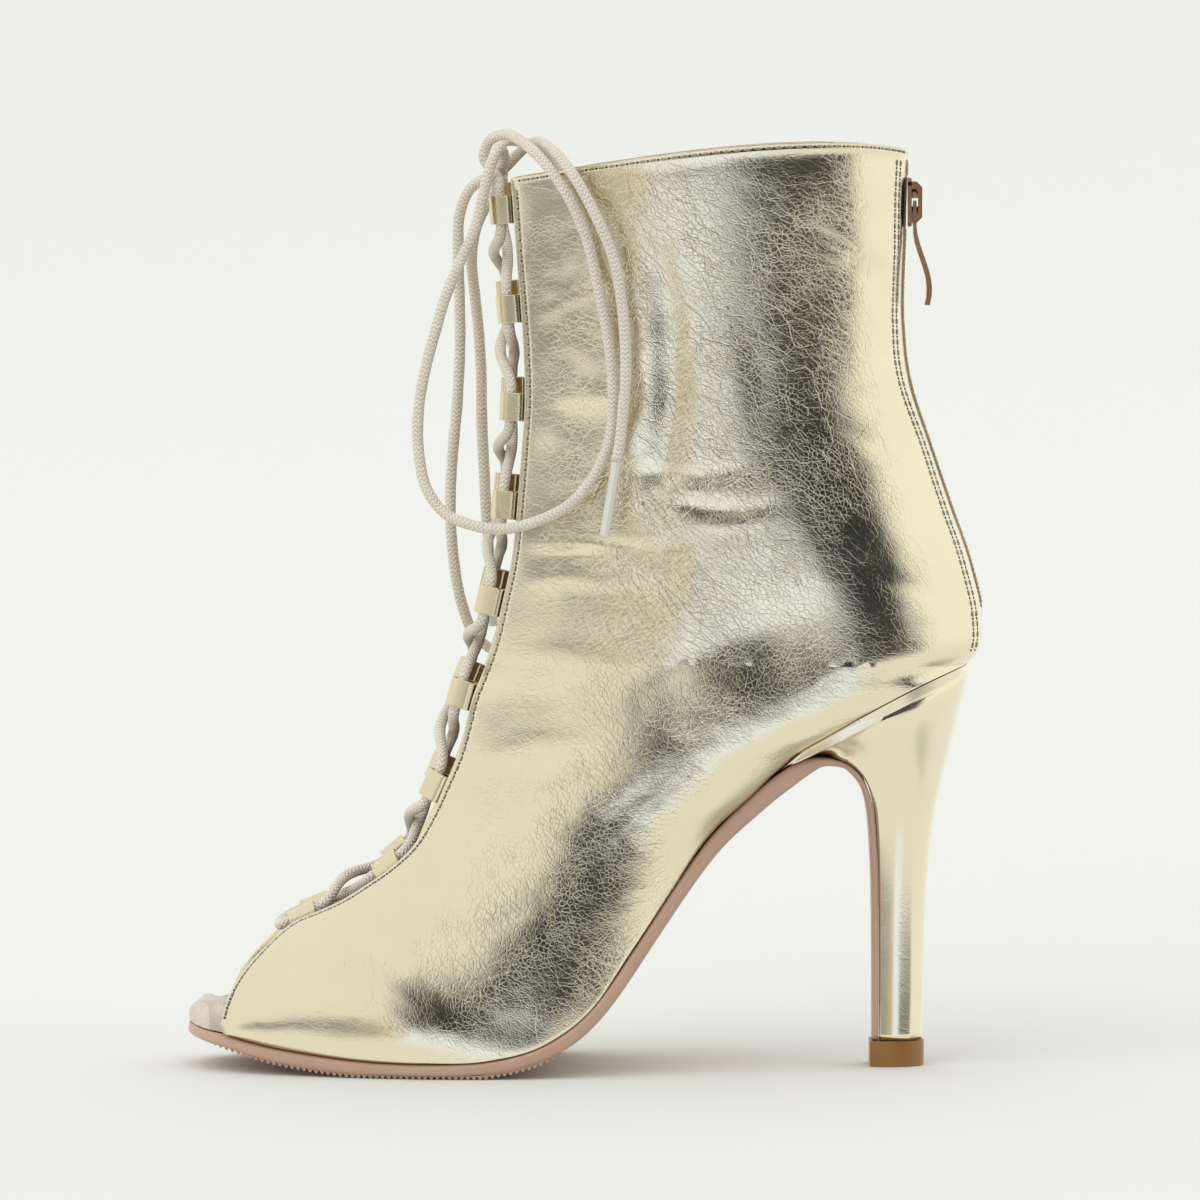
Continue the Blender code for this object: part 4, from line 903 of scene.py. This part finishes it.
def make_tube(name, path, radii, finishes, sides=12):
    """A round cord along a path, with a map of its own: X round it, Y along it in strands."""
    radii = np.broadcast_to(radii, len(path))
    _, across, over = path_frames(path)
    rings = []
    for place, radius, one, other in zip(path, radii, across, over):
        rings.append([Vector(place + radius * (one * math.cos(turn) + other * math.sin(turn)))
                      for turn in np.linspace(0.0, 2 * math.pi, sides, endpoint=False)])
    shape = bmesh.new()
    rows = skin(shape, rings, closed=True)
    for row in (rows[0], rows[-1]):
        bmesh.ops.contextual_create(shape, geom=row)
    stops = np.concatenate([[0.0], np.cumsum(np.linalg.norm(np.diff(path, axis=0), axis=1))])
    spots = {}
    for number, row in enumerate(rows):
        for step, vert in enumerate(row):
            spots[vert] = (step, stops[number] / BRAID_PITCH)
    lay = shape.loops.layers.uv.new("lay")
    for face in shape.faces:
        over_seam = any(spots[loop.vert][0] == sides - 1 for loop in face.loops)
        for loop in face.loops:
            step, along = spots[loop.vert]
            loop[lay].uv = ((sides if over_seam and step == 0 else step) / sides, along)
    bmesh.ops.recalc_face_normals(shape, faces=shape.faces)
    return piece_from(name, shape, finishes)


def uneven(path, radius, share):
    """A radius that swells and thins a little along the cord."""
    return np.array([radius * (1 + share * noise.noise(Vector(place) / 0.004)) for place in path])


def make_cord(name, points, node_name, far_end):
    """One of the bow's cords, its start tucked halfway into the knot."""
    tucks = [Vector(point).lerp(Vector(KNOT_PLACE), 0.5) for point in (points[0], points[-1])]
    points = [tuple(tucks[0])] + list(points) + ([tuple(tucks[1])] if far_end == "object" else [])
    path = dense(along_curve(points, count=900), 0.0009)
    cord = make_tube(name, path, uneven(path, CORD / 2 - 0.00004, 0.05), [cotton])
    settle(cord, "boot", "cotton_cord", node_name)
    return cord


def make_lacing(frames):
    """The lace from the knot through all the loops and back, snug where it crosses itself."""
    path = dense(along_curve(lace_route(frames), count=2600), 0.0009)
    lace = make_tube("laced_cord", path, uneven(path, CORD / 2 - 0.00004, 0.05), [cotton])
    settle(lace, "boot", "cotton_cord", "lace_run")


def make_knot():
    """The bow's knot: one turn of cord round the crossing of the two ends."""
    centre = Vector(KNOT_PLACE)
    reach = (KNOT_SIZE[0] / 2 - 0.0013, KNOT_SIZE[1] / 2 - 0.0014, KNOT_SIZE[2] / 2 - 0.0012)
    # A trefoil, its lobes toward the loops and the lacing, pulled tight
    path = []
    for turn in np.linspace(0.0, 2 * math.pi, 120):
        path.append((centre.x + reach[0] * math.sin(3 * turn) * 0.9,
                     centre.y + reach[1] * (math.sin(turn) + 1.5 * math.sin(2 * turn)) / 2.1,
                     centre.z + reach[2] * (math.cos(turn) - 1.5 * math.cos(2 * turn)) / 2.2))
    knot = make_tube("bow_knot", np.array(path), 0.00150, [cotton])
    settle(knot, "boot", "cotton_cord", "lace_knot")


def make_lace_loops(frames):
    """Folded leather bands that the lace runs through: foil outside, brown painted shade inside, pale cut
    edges.
    """
    outer, inner = loop_profile(24)
    shares = (-0.5, -0.47, 0.0, 0.47, 0.5)
    for (side, number), frame in frames.items():
        word = "near" if side < 0 else "far"
        shape = bmesh.new()
        chains = []
        for share in shares:
            row = [loop_spot(frame, reach, depth, share * LOOP_WIDTH) for reach, depth in outer]
            chains.append(row)
        outer_rows = skin(shape, chains, closed=True)
        chains = [[loop_spot(frame, reach, depth, share * LOOP_WIDTH) for reach, depth in inner]
                  for share in shares]
        before = set(shape.faces)
        inner_rows = skin(shape, chains, closed=True)
        for face in shape.faces:
            # The inner skin's faces take the brown of painted shade
            face.material_index = 0 if face in before else 1
        for row in (0, -1):
            count = len(outer_rows[row])
            for step in range(count):
                ahead = (step + 1) % count
                face = shape.faces.new((outer_rows[row][step], outer_rows[row][ahead],
                                        inner_rows[row][ahead], inner_rows[row][step]))
                face.material_index = 2
        bmesh.ops.recalc_face_normals(shape, faces=shape.faces)
        band = piece_from(f"loop_band_{word}_{number + 1}", shape, [loop_foil, loop_inside_shade, cut_edge])
        round_edges(band, 0.00010, 2, 50)
        bake_modifiers(band)
        settle(band, "boot", "gold_leather", f"lace_loop_{word}_{number + 1}")


# Main creases of the outer side, as pixels of the side view, then half width and depth in mm.
# A depth below 0 is a ridge.
CREASES = [
    ([(524, 540), (560, 541), (590, 541), (622, 546), (650, 549), (690, 540)], 2.4, 0.75),
    ([(528, 552), (572, 548), (610, 552), (645, 545)], 1.6, -0.45),
    ([(570, 563), (600, 558), (640, 561), (655, 562)], 1.5, 0.55),
    ([(512, 580), (560, 572), (600, 575), (650, 571), (690, 556)], 2.4, 0.45),
    ([(500, 655), (560, 650), (622, 660), (660, 650)], 2.6, 0.35),
    ([(790, 222), (826, 238), (852, 254), (892, 276)], 1.5, 0.34),
    ([(800, 240), (836, 252), (866, 266)], 1.5, -0.22),
    ([(838, 262), (858, 270), (880, 282)], 1.4, 0.26),
    ([(868, 246), (850, 262), (836, 282)], 1.4, 0.18),
    ([(620, 466), (660, 470), (700, 472), (745, 462)], 2.0, 0.55),
    ([(668, 496), (705, 505), (742, 508), (768, 500)], 2.2, 0.60),
    ([(690, 520), (730, 516), (770, 508)], 1.8, -0.35),
    ([(520, 320), (560, 300), (600, 285), (640, 262)], 2.4, 0.40),
    ([(530, 405), (560, 395), (590, 398), (620, 388)], 1.8, 0.35),
    ([(600, 185), (606, 230), (612, 280)], 3.0, 0.45),
    ([(560, 200), (566, 250), (552, 300), (560, 350)], 3.4, 0.45),
    ([(655, 230), (668, 300), (672, 380), (664, 450), (650, 520)], 4.2, 0.80),
    ([(640, 300), (648, 380), (640, 460)], 3.6, -0.45),
    ([(740, 300), (760, 380), (752, 460)], 4.6, 0.35),
    ([(470, 760), (530, 740), (590, 735)], 3.0, 0.28),
    ([(520, 800), (580, 770), (650, 760)], 3.0, 0.25),
    ([(560, 880), (600, 820), (660, 770), (700, 740)], 3.2, 0.22),
    ([(380, 960), (430, 930), (490, 915), (540, 900)], 3.0, 0.22),
    ([(830, 420), (870, 440), (905, 455)], 2.4, 0.25),
    ([(850, 560), (900, 580), (948, 590)], 2.6, 0.22),
    ([(640, 690), (700, 650), (760, 620), (820, 600)], 3.4, 0.25),
    ([(690, 618), (740, 622), (800, 624), (860, 630)], 14.0, 1.00),
]


def crease_depth(x, z, shift):
    """How far the creases draw each point in, in metres."""
    total = np.zeros(len(x))
    for pixels, half, depth in CREASES:
        line = np.array([spot(px + shift * 9, py + shift * 5) for px, py in pixels])
        best = np.full(len(x), 1.0)
        share = np.zeros(len(x))
        spans = np.linalg.norm(np.diff(line, axis=0), axis=1)
        total_length = spans.sum()
        run = 0.0
        for here, there, span in zip(line, line[1:], spans):
            way = (there - here) / span
            along = np.clip((x - here[0]) * way[0] + (z - here[1]) * way[1], 0.0, span)
            off = np.hypot(x - here[0] - way[0] * along, z - here[1] - way[1] * along)
            closer = off < best
            best = np.where(closer, off, best)
            share = np.where(closer, (run + along) / total_length, share)
            run += span
        fade = np.sin(np.pi * np.clip(share, 0.02, 0.98)) ** 0.8
        total += depth * 0.001 * fade * np.exp(-(best / (half * 0.001)) ** 2)
    return total


def pixels_of(points):
    """Where points lie in the side view."""
    return (points[:, 0] * 1000 / MM_PER_PIXEL + ORIGIN_PIXEL[0],
            ORIGIN_PIXEL[1] - points[:, 2] * 1000 / MM_PER_PIXEL)


def in_patch(points, patch):
    """One at the middle of a patch of the side view, falling off to its edges."""
    px, py = pixels_of(points)
    across, up, wide, tall = patch
    return np.exp(-((px - across) / wide) ** 2 - ((py - up) / tall) ** 2)


def crushed(points, reach):
    """How much the leather is crushed at each point, from 0 to 1."""
    # The strips beside the throat and the back seam and the toe stay smooth
    calm = np.clip((reach - 0.0045) / 0.010, 0.0, 1.0)
    most = np.maximum(in_patch(points, CRUSHED_SHAFT), 0.75 * in_patch(points, CRUSHED_VAMP))
    return np.clip(0.40 + 0.80 * most * (0.30 + 0.70 * calm), 0.0, 1.0)


def crumple(point, size):
    """Ridged noise of one size, about 0 to 1."""
    return noise.ridged_multi_fractal(Vector(point) / size, 0.9, 2.1, 3, 0.9, 2.0) / 2.2


def inset_line(sections, side, inset, from_edge):
    """A line on the upper at a distance from the throat's edge, or from its foot."""
    line = []
    for section in sections:
        turns, long = even_turns(section, side, 160)
        share = min(inset / long, 0.45)
        spot_share = 1.0 - share if from_edge else share
        line.append(section_point(section, side, float(np.interp(spot_share, np.linspace(0, 1, 161), turns))))
    return line


def make_upper():
    """The crushed leather of the upper with its lining: one wall, open as the boot is."""
    sections, _ = upper_sections(*FINE_STEPS)
    shape = bmesh.new()
    for side in SIDES:
        rows = []
        for section in sections:
            turns, _ = even_turns(section, side, FINE_TURNS, EDGE_TURNS)
            rows.append([section_point(section, side, turn) for turn in turns])
        skin(shape, list(zip(*rows)))
    bmesh.ops.remove_doubles(shape, verts=shape.verts, dist=1e-6)
    bmesh.ops.recalc_face_normals(shape, faces=shape.faces)
    outer = min(shape.faces, key=lambda face: face.calc_center_median().y)
    if outer.normal.y > 0:
        bmesh.ops.reverse_faces(shape, faces=shape.faces)
    sheet = piece_from("upper_leather", shape, [upper_foil, lining, loop_foil])
    points = points_of(sheet.data)
    normals = normals_of(sheet.data)
    slit_rows = [section for section in sections if section.foot_lateral > 0 and section.foot_z > 0.118]
    free, closed, collar = [], [], []
    for side in SIDES:
        top = [section_point(sections[0], side, turn) for turn in np.linspace(0, 1, 60)]
        collar.append(dense(top, 0.0004))
        free.append(dense([section_point(section, side, 1.0) for section in sections], 0.0008))
        free.append(dense(top, 0.0008))
        free.append(dense([section_point(section, side, 0.0) for section in slit_rows], 0.0008))
        closed.append(dense([section_point(section, side, 0.0) for section in sections], 0.0008))
    to_free = nearest_reach(points, free)
    to_any = np.minimum(to_free, nearest_reach(points, closed))
    crush = crushed(points, to_free)
    hold = np.clip((to_any - 0.0012) / 0.006, 0.0, 1.0)
    drop = np.zeros(len(points))
    for side in SIDES:
        mine = points[:, 1] * side > 0
        drop[mine] = crease_depth(points[mine, 0], points[mine, 2], 0.0 if side < 0 else 1.0)
    rough = np.array([crumple(point, CRUMPLES[0]) for point in points])
    fine = np.array([crumple(point + 3.0, FINE_CRUMPLES[0]) for point in points])
    soft = np.array([noise.noise(Vector(point) / SOFT_WAVES[0]) for point in points])
    dent = np.array([noise.noise(Vector(point) / DENTS[0]) for point in points])
    # Where the shaft is widest the leather is stretched flat; beside the throat it has dents
    flat = 1.0 - 0.8 * in_patch(points, STRETCHED)
    relief = drop * hold
    relief += hold * crush * flat * (CRUMPLES[1] * (rough - 0.6) + FINE_CRUMPLES[1] * (fine - 0.6))
    relief += hold * (SOFT_WAVES[1] * flat * soft + DENTS[1] * in_patch(points, DENTED) * dent)
    # The collar's leather is folded over, and ends in a small step
    to_collar = nearest_reach(points, collar)
    past_fold = np.clip((to_collar - COLLAR_FOLD + 0.0003) / 0.0006, 0.0, 1.0)
    relief -= FOLD_STEP * (1 - past_fold) * (to_collar < 0.01)
    # The stitched seam draws the edge down into a shallow channel
    channel = 0.0010 + 0.0005 * np.clip((to_collar - 0.002) / 0.002, 0.0, 1.0)
    relief += 0.00022 * np.exp(-((to_free - channel) / 0.0005) ** 2)
    relief -= 0.00008 * np.exp(-(to_free / 0.0006) ** 2)
    set_points(sheet.data, points - normals * relief[:, None])
    attribute = sheet.data.attributes.new("crush", "FLOAT", "POINT")
    attribute.data.foreach_set("value", crush.astype(np.float32))
    skin_tree = BVHTree.FromPolygons([vert.co.copy() for vert in sheet.data.vertices],
                                     [tuple(face.vertices) for face in sheet.data.polygons])
    wall = sheet.modifiers.new("wall", "SOLIDIFY")
    wall.thickness = WALL
    wall.offset = -1.0
    wall.use_rim = True
    wall.material_offset = 1
    wall.material_offset_rim = 2
    round_edges(sheet, 0.0004, 2, 58)
    bake_modifiers(sheet)
    sheet.data.shade_smooth()
    settle(sheet, "boot", "gold_leather", "upper")
    return sections, skin_tree


def collar_line(sections, side, inset):
    """A line on the upper at a distance under the collar's edge."""
    line = []
    for turn in np.linspace(0.0, 1.0, 120):
        chain = np.array([section_point(section, side, turn) for section in sections[:16]])
        stops = np.concatenate([[0.0], np.cumsum(np.linalg.norm(np.diff(chain, axis=0), axis=1))])
        line.append(Vector([np.interp(inset, stops, chain[:, axis]) for axis in range(3)]))
    return line


def seam_line(sections, side, offset):
    """A line beside the back seam, at a distance from the back as seen from the side."""
    line = []
    turns = np.linspace(0.0, 0.5, 200)
    for section in sections:
        points = np.array([section_point(section, side, turn) for turn in turns])
        reach = points[0, 0] - points[:, 0]
        turn = float(np.interp(offset, reach, turns))
        line.append(section_point(section, side, turn))
    return line


def make_stitches(sections, skin_tree):
    """Lockstitches in grey thread along the throat, the collar and the back seam, with a dot of painted shade
    at each needle hole.
    """
    throat_rows = [inset_line(sections, side, 0.0015, True) for side in SIDES]
    collar_rows = [collar_line(sections, side, 0.0010) for side in SIDES]
    seam_end = sum(FINE_STEPS[:3]) + 1
    seam_rows = [seam_line(sections[:seam_end], side, offset)
                 for side in SIDES for offset in (0.0017, 0.0028)]
    bead, hole = pebble(6, 6), pebble(6, 4)
    hole.polygons.foreach_set("material_index", [1] * len(hole.polygons))
    shape = bmesh.new()
    for row in throat_rows + collar_rows + seam_rows:
        path = dense(row, STITCH_PITCH)
        for here, there in zip(path[1:-2], path[2:-1]):
            middle = (Vector(here) + Vector(there)) / 2
            place, normal, _, _ = skin_tree.find_nearest(middle)
            way = Vector(there) - Vector(here)
            way = (way - normal * way.dot(normal)).normalized()
            stamp(shape, bead, place + normal * 0.00006, (way, normal.cross(way), normal),
                  (STITCH_LENGTH, STITCH_THICK, STITCH_THICK * 0.9))
            # A dark dot of painted shade where the needle went through
            place, normal, _, _ = skin_tree.find_nearest(Vector(there))
            stamp(shape, hole, place, (way, normal.cross(way), normal),
                  (HOLE_WIDTH, HOLE_WIDTH, 0.4 * HOLE_WIDTH))
    stitches = piece_from("seam_stitches", shape, [thread, needle_hole_shade])
    settle(stitches, "boot", "gold_leather")


# The sole, the heel and the footbed

def make_heel():
    """The heel block under smooth leather, and its moulded tip with rounded rims."""
    for name, word, finish, slot in (("heel", "covered_heel", heel_foil, "gold_leather"),
                                     ("heel_tip", "moulded_heel_tip", tip_rubber, "tan_tip")):
        shape = merged_copy(name)
        crease_sharp(shape, math.radians(38), 1.0)
        cover = piece_from(word, shape, [finish])
        soften(cover)
        if name == "heel_tip":
            round_edges(cover, 0.0005, 3, 50)
        bake_modifiers(cover)
        cover.data.set_sharp_from_angle(angle=math.radians(50))
        settle(cover, "boot", slot, name)


def sole_under(x):
    """Height of the outsole's underside, and how far it reaches to each side."""
    along = x / LENGTH + MIDDLE
    stops = [row.along for row in SOLE_ROWS]
    thick = SOLE * read_table(stops, [row.sheet for row in SOLE_ROWS], along)
    slope = (sole_top(along + 0.004) - sole_top(along - 0.004)) / (0.008 * LENGTH)
    low = sole_top(along) - thick * math.sqrt(1 + slope * slope)
    return max(low, 0.0), -sole_half(along, -1), sole_half(along, 1), slope


def make_outsole():
    """The outsole, its bottom lifted where the tread's ribs stand under it."""
    shape = merged_copy("outsole")
    crease_sharp(shape, math.radians(30), 0.85)
    ends = [spot(pixel, 0)[0] for pixel in TREAD_PIXELS]
    for vert in shape.verts:
        if ends[0] < vert.co.x < ends[1]:
            low, *_ = sole_under(vert.co.x)
            fade = min(1.0, (vert.co.x - ends[0]) / 0.004, (ends[1] - vert.co.x) / 0.004)
            if vert.co.z < low + 0.0014:
                vert.co.z += TREAD_DEPTH * fade
    sole = piece_from("moulded_outsole", shape, [sole_rubber])
    soften(sole)
    bake_modifiers(sole)
    settle(sole, "boot", "nude_sole", "outsole")


def make_tread():
    """Fine ribs across the forefoot, which show as teeth along the sole's edge."""
    shape = bmesh.new()
    ends = [spot(pixel, 0)[0] for pixel in TREAD_PIXELS]
    for x in np.arange(ends[0] + 0.001, ends[1] - 0.001, TREAD_PITCH):
        low, near, far, slope = sole_under(x)
        base, tip = TREAD_PITCH * RIB_ROOT, TREAD_PITCH * RIB_TIP
        root = low + TREAD_DEPTH + TREAD_BURIED
        outline = ((-base, root - base * slope), (-tip, low - tip * slope),
                   (tip, low + tip * slope), (base, root + base * slope))
        chains = [[Vector((x + shift, y, max(height, 0.0))) for shift, height in outline]
                  for y in (near + TREAD_BURIED, far - TREAD_BURIED)]
        for row in skin(shape, chains, closed=True):
            bmesh.ops.contextual_create(shape, geom=row)
    bmesh.ops.recalc_face_normals(shape, faces=shape.faces)
    tread = piece_from("tread_ribs", shape, [sole_rubber])
    tread.data.shade_flat()
    settle(tread, "boot", "nude_sole")


def make_footbed():
    """The suede footbed, softly rounded at the open toe."""
    shape = merged_copy("insole")
    toe = min(vert.co.x for vert in shape.verts)
    for vert in shape.verts:
        share = min(1.0, (vert.co.x - toe) / FOOTBED_ROUND)
        low = sole_clear(vert.co.x / LENGTH + MIDDLE)
        vert.co.z = low + (vert.co.z - low) * (0.42 + 0.58 * math.sqrt(1 - (1 - share) ** 2))
    footbed = piece_from("suede_footbed", shape, [suede])
    round_edges(footbed, 0.0007, 2, 50)
    soften(footbed)
    bake_modifiers(footbed)
    footbed.data.shade_smooth()
    settle(footbed, "boot", "beige_suede", "insole")


# The zip

def seam_run(sections):
    """Even places down the back seam with the directions down it and out of it."""
    rows = sections[: sum(FINE_STEPS[:2]) + 1]
    line = dense([Vector((section.foot_x, 0.0, section.foot_z)) for section in rows], SEAM_STEP)
    runs = np.gradient(line, axis=0)
    runs /= np.linalg.norm(runs, axis=1)[:, None]
    return line, runs


def make_teeth(sections):
    """The zip's nylon coil: two rows of small round turns, one row half a pitch on."""
    line, runs = seam_run(sections)
    stops = np.arange(len(line)) * SEAM_STEP
    slider = HEEL_HEIGHT + SHAFT_ROWS[0].back_z * SHAFT_HEIGHT - SLIDER_FROM_TOP
    bead = pebble(8, 6)
    shape = bmesh.new()
    for side in SIDES:
        reach = ZIP_TOP + TOOTH_PITCH * (1.0 if side < 0 else 1.5)
        while reach < stops[-1] - ZIP_FOOT - TOOTH_PITCH:
            number = int(reach / SEAM_STEP)
            centre, run = Vector(line[number]), Vector(runs[number])
            reach += TOOTH_PITCH
            if abs(centre.z - slider) < SLIDER_HEIGHT / 2 + 0.0006:
                continue
            out = Vector((-run.z, 0.0, run.x))
            place = centre + out * (ZIP_PROUD - TOOTH_SIZE[2] / 5) + Vector((0.0, side * TOOTH_ROW, 0.0))
            stamp(shape, bead, place, (Vector((0.0, 1.0, 0.0)), run, out), TOOTH_SIZE)
    teeth = piece_from("zip_coil_turns", shape, [zip_teeth])
    settle(teeth, "boot", "zip_cloth")


def make_zip_end(sections):
    """The tape's sewn end, which fills the point of the slit under the last teeth."""
    line, runs = seam_run(sections)
    end, run = Vector(line[-1]), Vector(runs[-1])
    out = Vector((-run.z, 0.0, run.x))
    half = ZIP_CHAIN / 2 + GAP
    outline = ((-half, -ZIP_FOOT / 2), (half, -ZIP_FOOT / 2), (half, 0.0),
               (0.0, SLIT_POINT - GAP), (-half, 0.0))
    chains = [[end + run * down - out * deep + Vector((0.0, across, 0.0)) for across, down in outline]
              for deep in (GAP, WALL - GAP)]
    shape = bmesh.new()
    for row in skin(shape, chains, closed=True):
        bmesh.ops.contextual_create(shape, geom=row)
    bmesh.ops.recalc_face_normals(shape, faces=shape.faces)
    patch = piece_from("zip_tape_end", shape, [zip_cloth])
    patch.data.shade_flat()
    settle(patch, "boot", "zip_cloth")


def make_slider_lock():
    """The lock's housing, which fills the slider's bail above and below the pull's bar."""
    box = [nodes["zip_slider"].matrix_world @ Vector(corner) for corner in nodes["zip_slider"].bound_box]
    front = min(corner.x for corner in box) + SLIDER_PLATE / 2
    back = max(corner.x for corner in box) - BAIL_SHEET / 2
    middle = (min(corner.z for corner in box) + max(corner.z for corner in box)) / 2
    shape = bmesh.new()
    for side in SIDES:
        made = bmesh.ops.create_cube(shape, size=1.0)["verts"]
        bmesh.ops.scale(shape, vec=(back - front, LOCK_WIDTH, LOCK_TALL), verts=made)
        bmesh.ops.translate(shape, vec=((front + back) / 2, 0.0, middle + side * LOCK_REACH), verts=made)
    lock = piece_from("slider_lock", shape, [rose_gold])
    round_edges(lock, 0.00015, 2, 30)
    settle(lock, "boot", "rose_gold")


def dress(name, finish, width, segments):
    """Gives a CAD node its finish and softens its edges."""
    piece = nodes[name]
    for slot in piece.material_slots:
        slot.material = finish
    if width:
        round_edges(piece, width, segments, 35)


# All pieces, the camera and the cords first

make_camera()
cad_sections, throat_end = upper_sections(*CAD_STEPS)
frames = {(side, number): loop_frame(cad_sections, throat_end, side, number)
          for side in SIDES for number in range(LOOP_COUNT)}
make_cord("bow_loop_near", BOW_NEAR, "lace_bow_near", "object")
make_cord("free_end_near", END_NEAR, "lace_end_near", "fitting")
make_cord("bow_loop_far", BOW_FAR, "lace_bow_far", "object")
make_cord("free_end_far", END_FAR, "lace_end_far", "fitting")
make_lacing(frames)
make_knot()
make_lace_loops(frames)
sections, upper_skin = make_upper()
make_stitches(sections, upper_skin)
make_heel()
make_outsole()
make_tread()
make_footbed()
make_teeth(sections)
make_zip_end(sections)
make_slider_lock()
dress("zip_chain", zip_teeth, 0.0, 0)
dress("zip_tape", zip_cloth, 0.0, 0)
dress("zip_slider", rose_gold, 0.00022, 2)
dress("zip_pull", rose_gold, 0.00020, 2)
dress("aglet_near", resin, 0.00030, 2)
dress("aglet_far", resin, 0.00030, 2)


# The studio

def window(tree, value, low, high, soft):
    """One between low and high with soft ends, zero outside, in degrees."""
    ends = []
    for dark, bright in ((low - soft, low + soft), (high + soft, high - soft)):
        end = node(tree, "MapRange", {"interpolation_type": "SMOOTHSTEP"},
                   {"Value": value, "From Min": math.radians(dark), "From Max": math.radians(bright)})
        ends.append(end)
    return node(tree, "Math", {"operation": "MULTIPLY"}, {0: ends[0], 1: ends[1]})


# Parts of the studio by direction: azimuth from the camera, positive to the right, and
# elevation, each from, to and softness in degrees, then the light's colour
STUDIO = [
    ((52, 172, 8), (-8, 70, 10), (1.06, 1.07, 1.04)),
    ((-68, -22, 8), (-15, 3, 5), (0.36, 0.37, 0.37)),
    ((-22, -14, 3), (-15, 3, 4), (0.60, 0.47, 0.28)),
    ((-14, 20, 4), (-26, 1, 2), (0.98, 1.08, 1.30)),
    ((-10, 46, 6), (1, 74, 2), (0.035, 0.040, 0.045)),
    ((8, 58, 5), (-10, 5, 3), (0.06, 0.06, 0.06)),
    ((84, 128, 10), (-85, -36, 9), (0.45, 0.45, 0.42)),
]


def make_studio():
    """A pale floor and backdrop, and a room of soft boxes and a dark card, drawn by direction."""
    world = bpy.data.worlds.new("studio")
    bpy.context.scene.world = world
    world.use_nodes = True
    tree = world.node_tree
    place = node(tree, "TexCoord").outputs["Generated"]
    split = node(tree, "SeparateXYZ", None, {"Vector": place})
    back = node(tree, "Math", {"operation": "MULTIPLY"}, {0: split.outputs["Y"], 1: -1.0})
    azimuth = node(tree, "Math", {"operation": "ARCTAN2"},
                   {0: split.outputs["X"], 1: back})
    rise = node(tree, "Math", {"operation": "ARCSINE"}, {0: split.outputs["Z"]})
    light = (0.93, 0.93, 0.92, 1.0)
    for turn, lift, colour in STUDIO:
        over = node(tree, "Math", {"operation": "MULTIPLY"},
                    {0: window(tree, azimuth, *turn), 1: window(tree, rise, *lift)})
        light = node(tree, "Mix", {"data_type": "RGBA"},
                     {"Factor": over, "A": light, "B": (*colour, 1.0)}).outputs["Result"]
    feed(tree.nodes["Background"], {"Color": light, "Strength": 1.0})
    # A wide soft sheet of light overhead, which the foil doesn't mirror
    data = bpy.data.lights.new("overhead", "SUN")
    data.energy = 1.35
    data.angle = math.radians(80)
    lamp = bpy.data.objects.new("overhead", data)
    lamp.rotation_euler = Vector((0.30, 0.75, -1.0)).to_track_quat("-Z", "Y").to_euler()
    lamp.visible_glossy = False
    bpy.context.scene.collection.objects.link(lamp)
    plain, _, _, shader = start_material("pale_paper")
    feed(shader, {"Base Color": linear("#E0E1DC"), "Roughness": 0.9})
    shape = bmesh.new()
    bmesh.ops.create_circle(shape, cap_ends=True, segments=96, radius=1.2)
    floor = piece_from("studio_floor", shape, [plain])
    floor.visible_glossy = False
    # The paper goes on flat and then sweeps up all round, past where any camera stands
    profile = [(1.2, 0.0), (3.4, 0.0)]
    for step in range(1, 13):
        angle = math.pi / 2 * step / 12
        profile.append((3.4 + 2.6 * math.sin(angle), 2.6 - 2.6 * math.cos(angle)))
    profile.append((6.0, 5.0))
    shape = bmesh.new()
    verts = [shape.verts.new((reach, 0.0, height)) for reach, height in profile]
    edges = [shape.edges.new(pair) for pair in zip(verts, verts[1:])]
    bmesh.ops.spin(shape, geom=verts + edges, cent=(0, 0, 0), axis=(0, 0, 1), angle=2 * math.pi,
                   steps=96, use_merge=True)
    backdrop = piece_from("studio_backdrop", shape, [plain])
    backdrop.visible_glossy = False
    backdrop.visible_diffuse = False
    backdrop.visible_shadow = False


make_studio()
bpy.context.scene.view_settings.view_transform = "Standard"
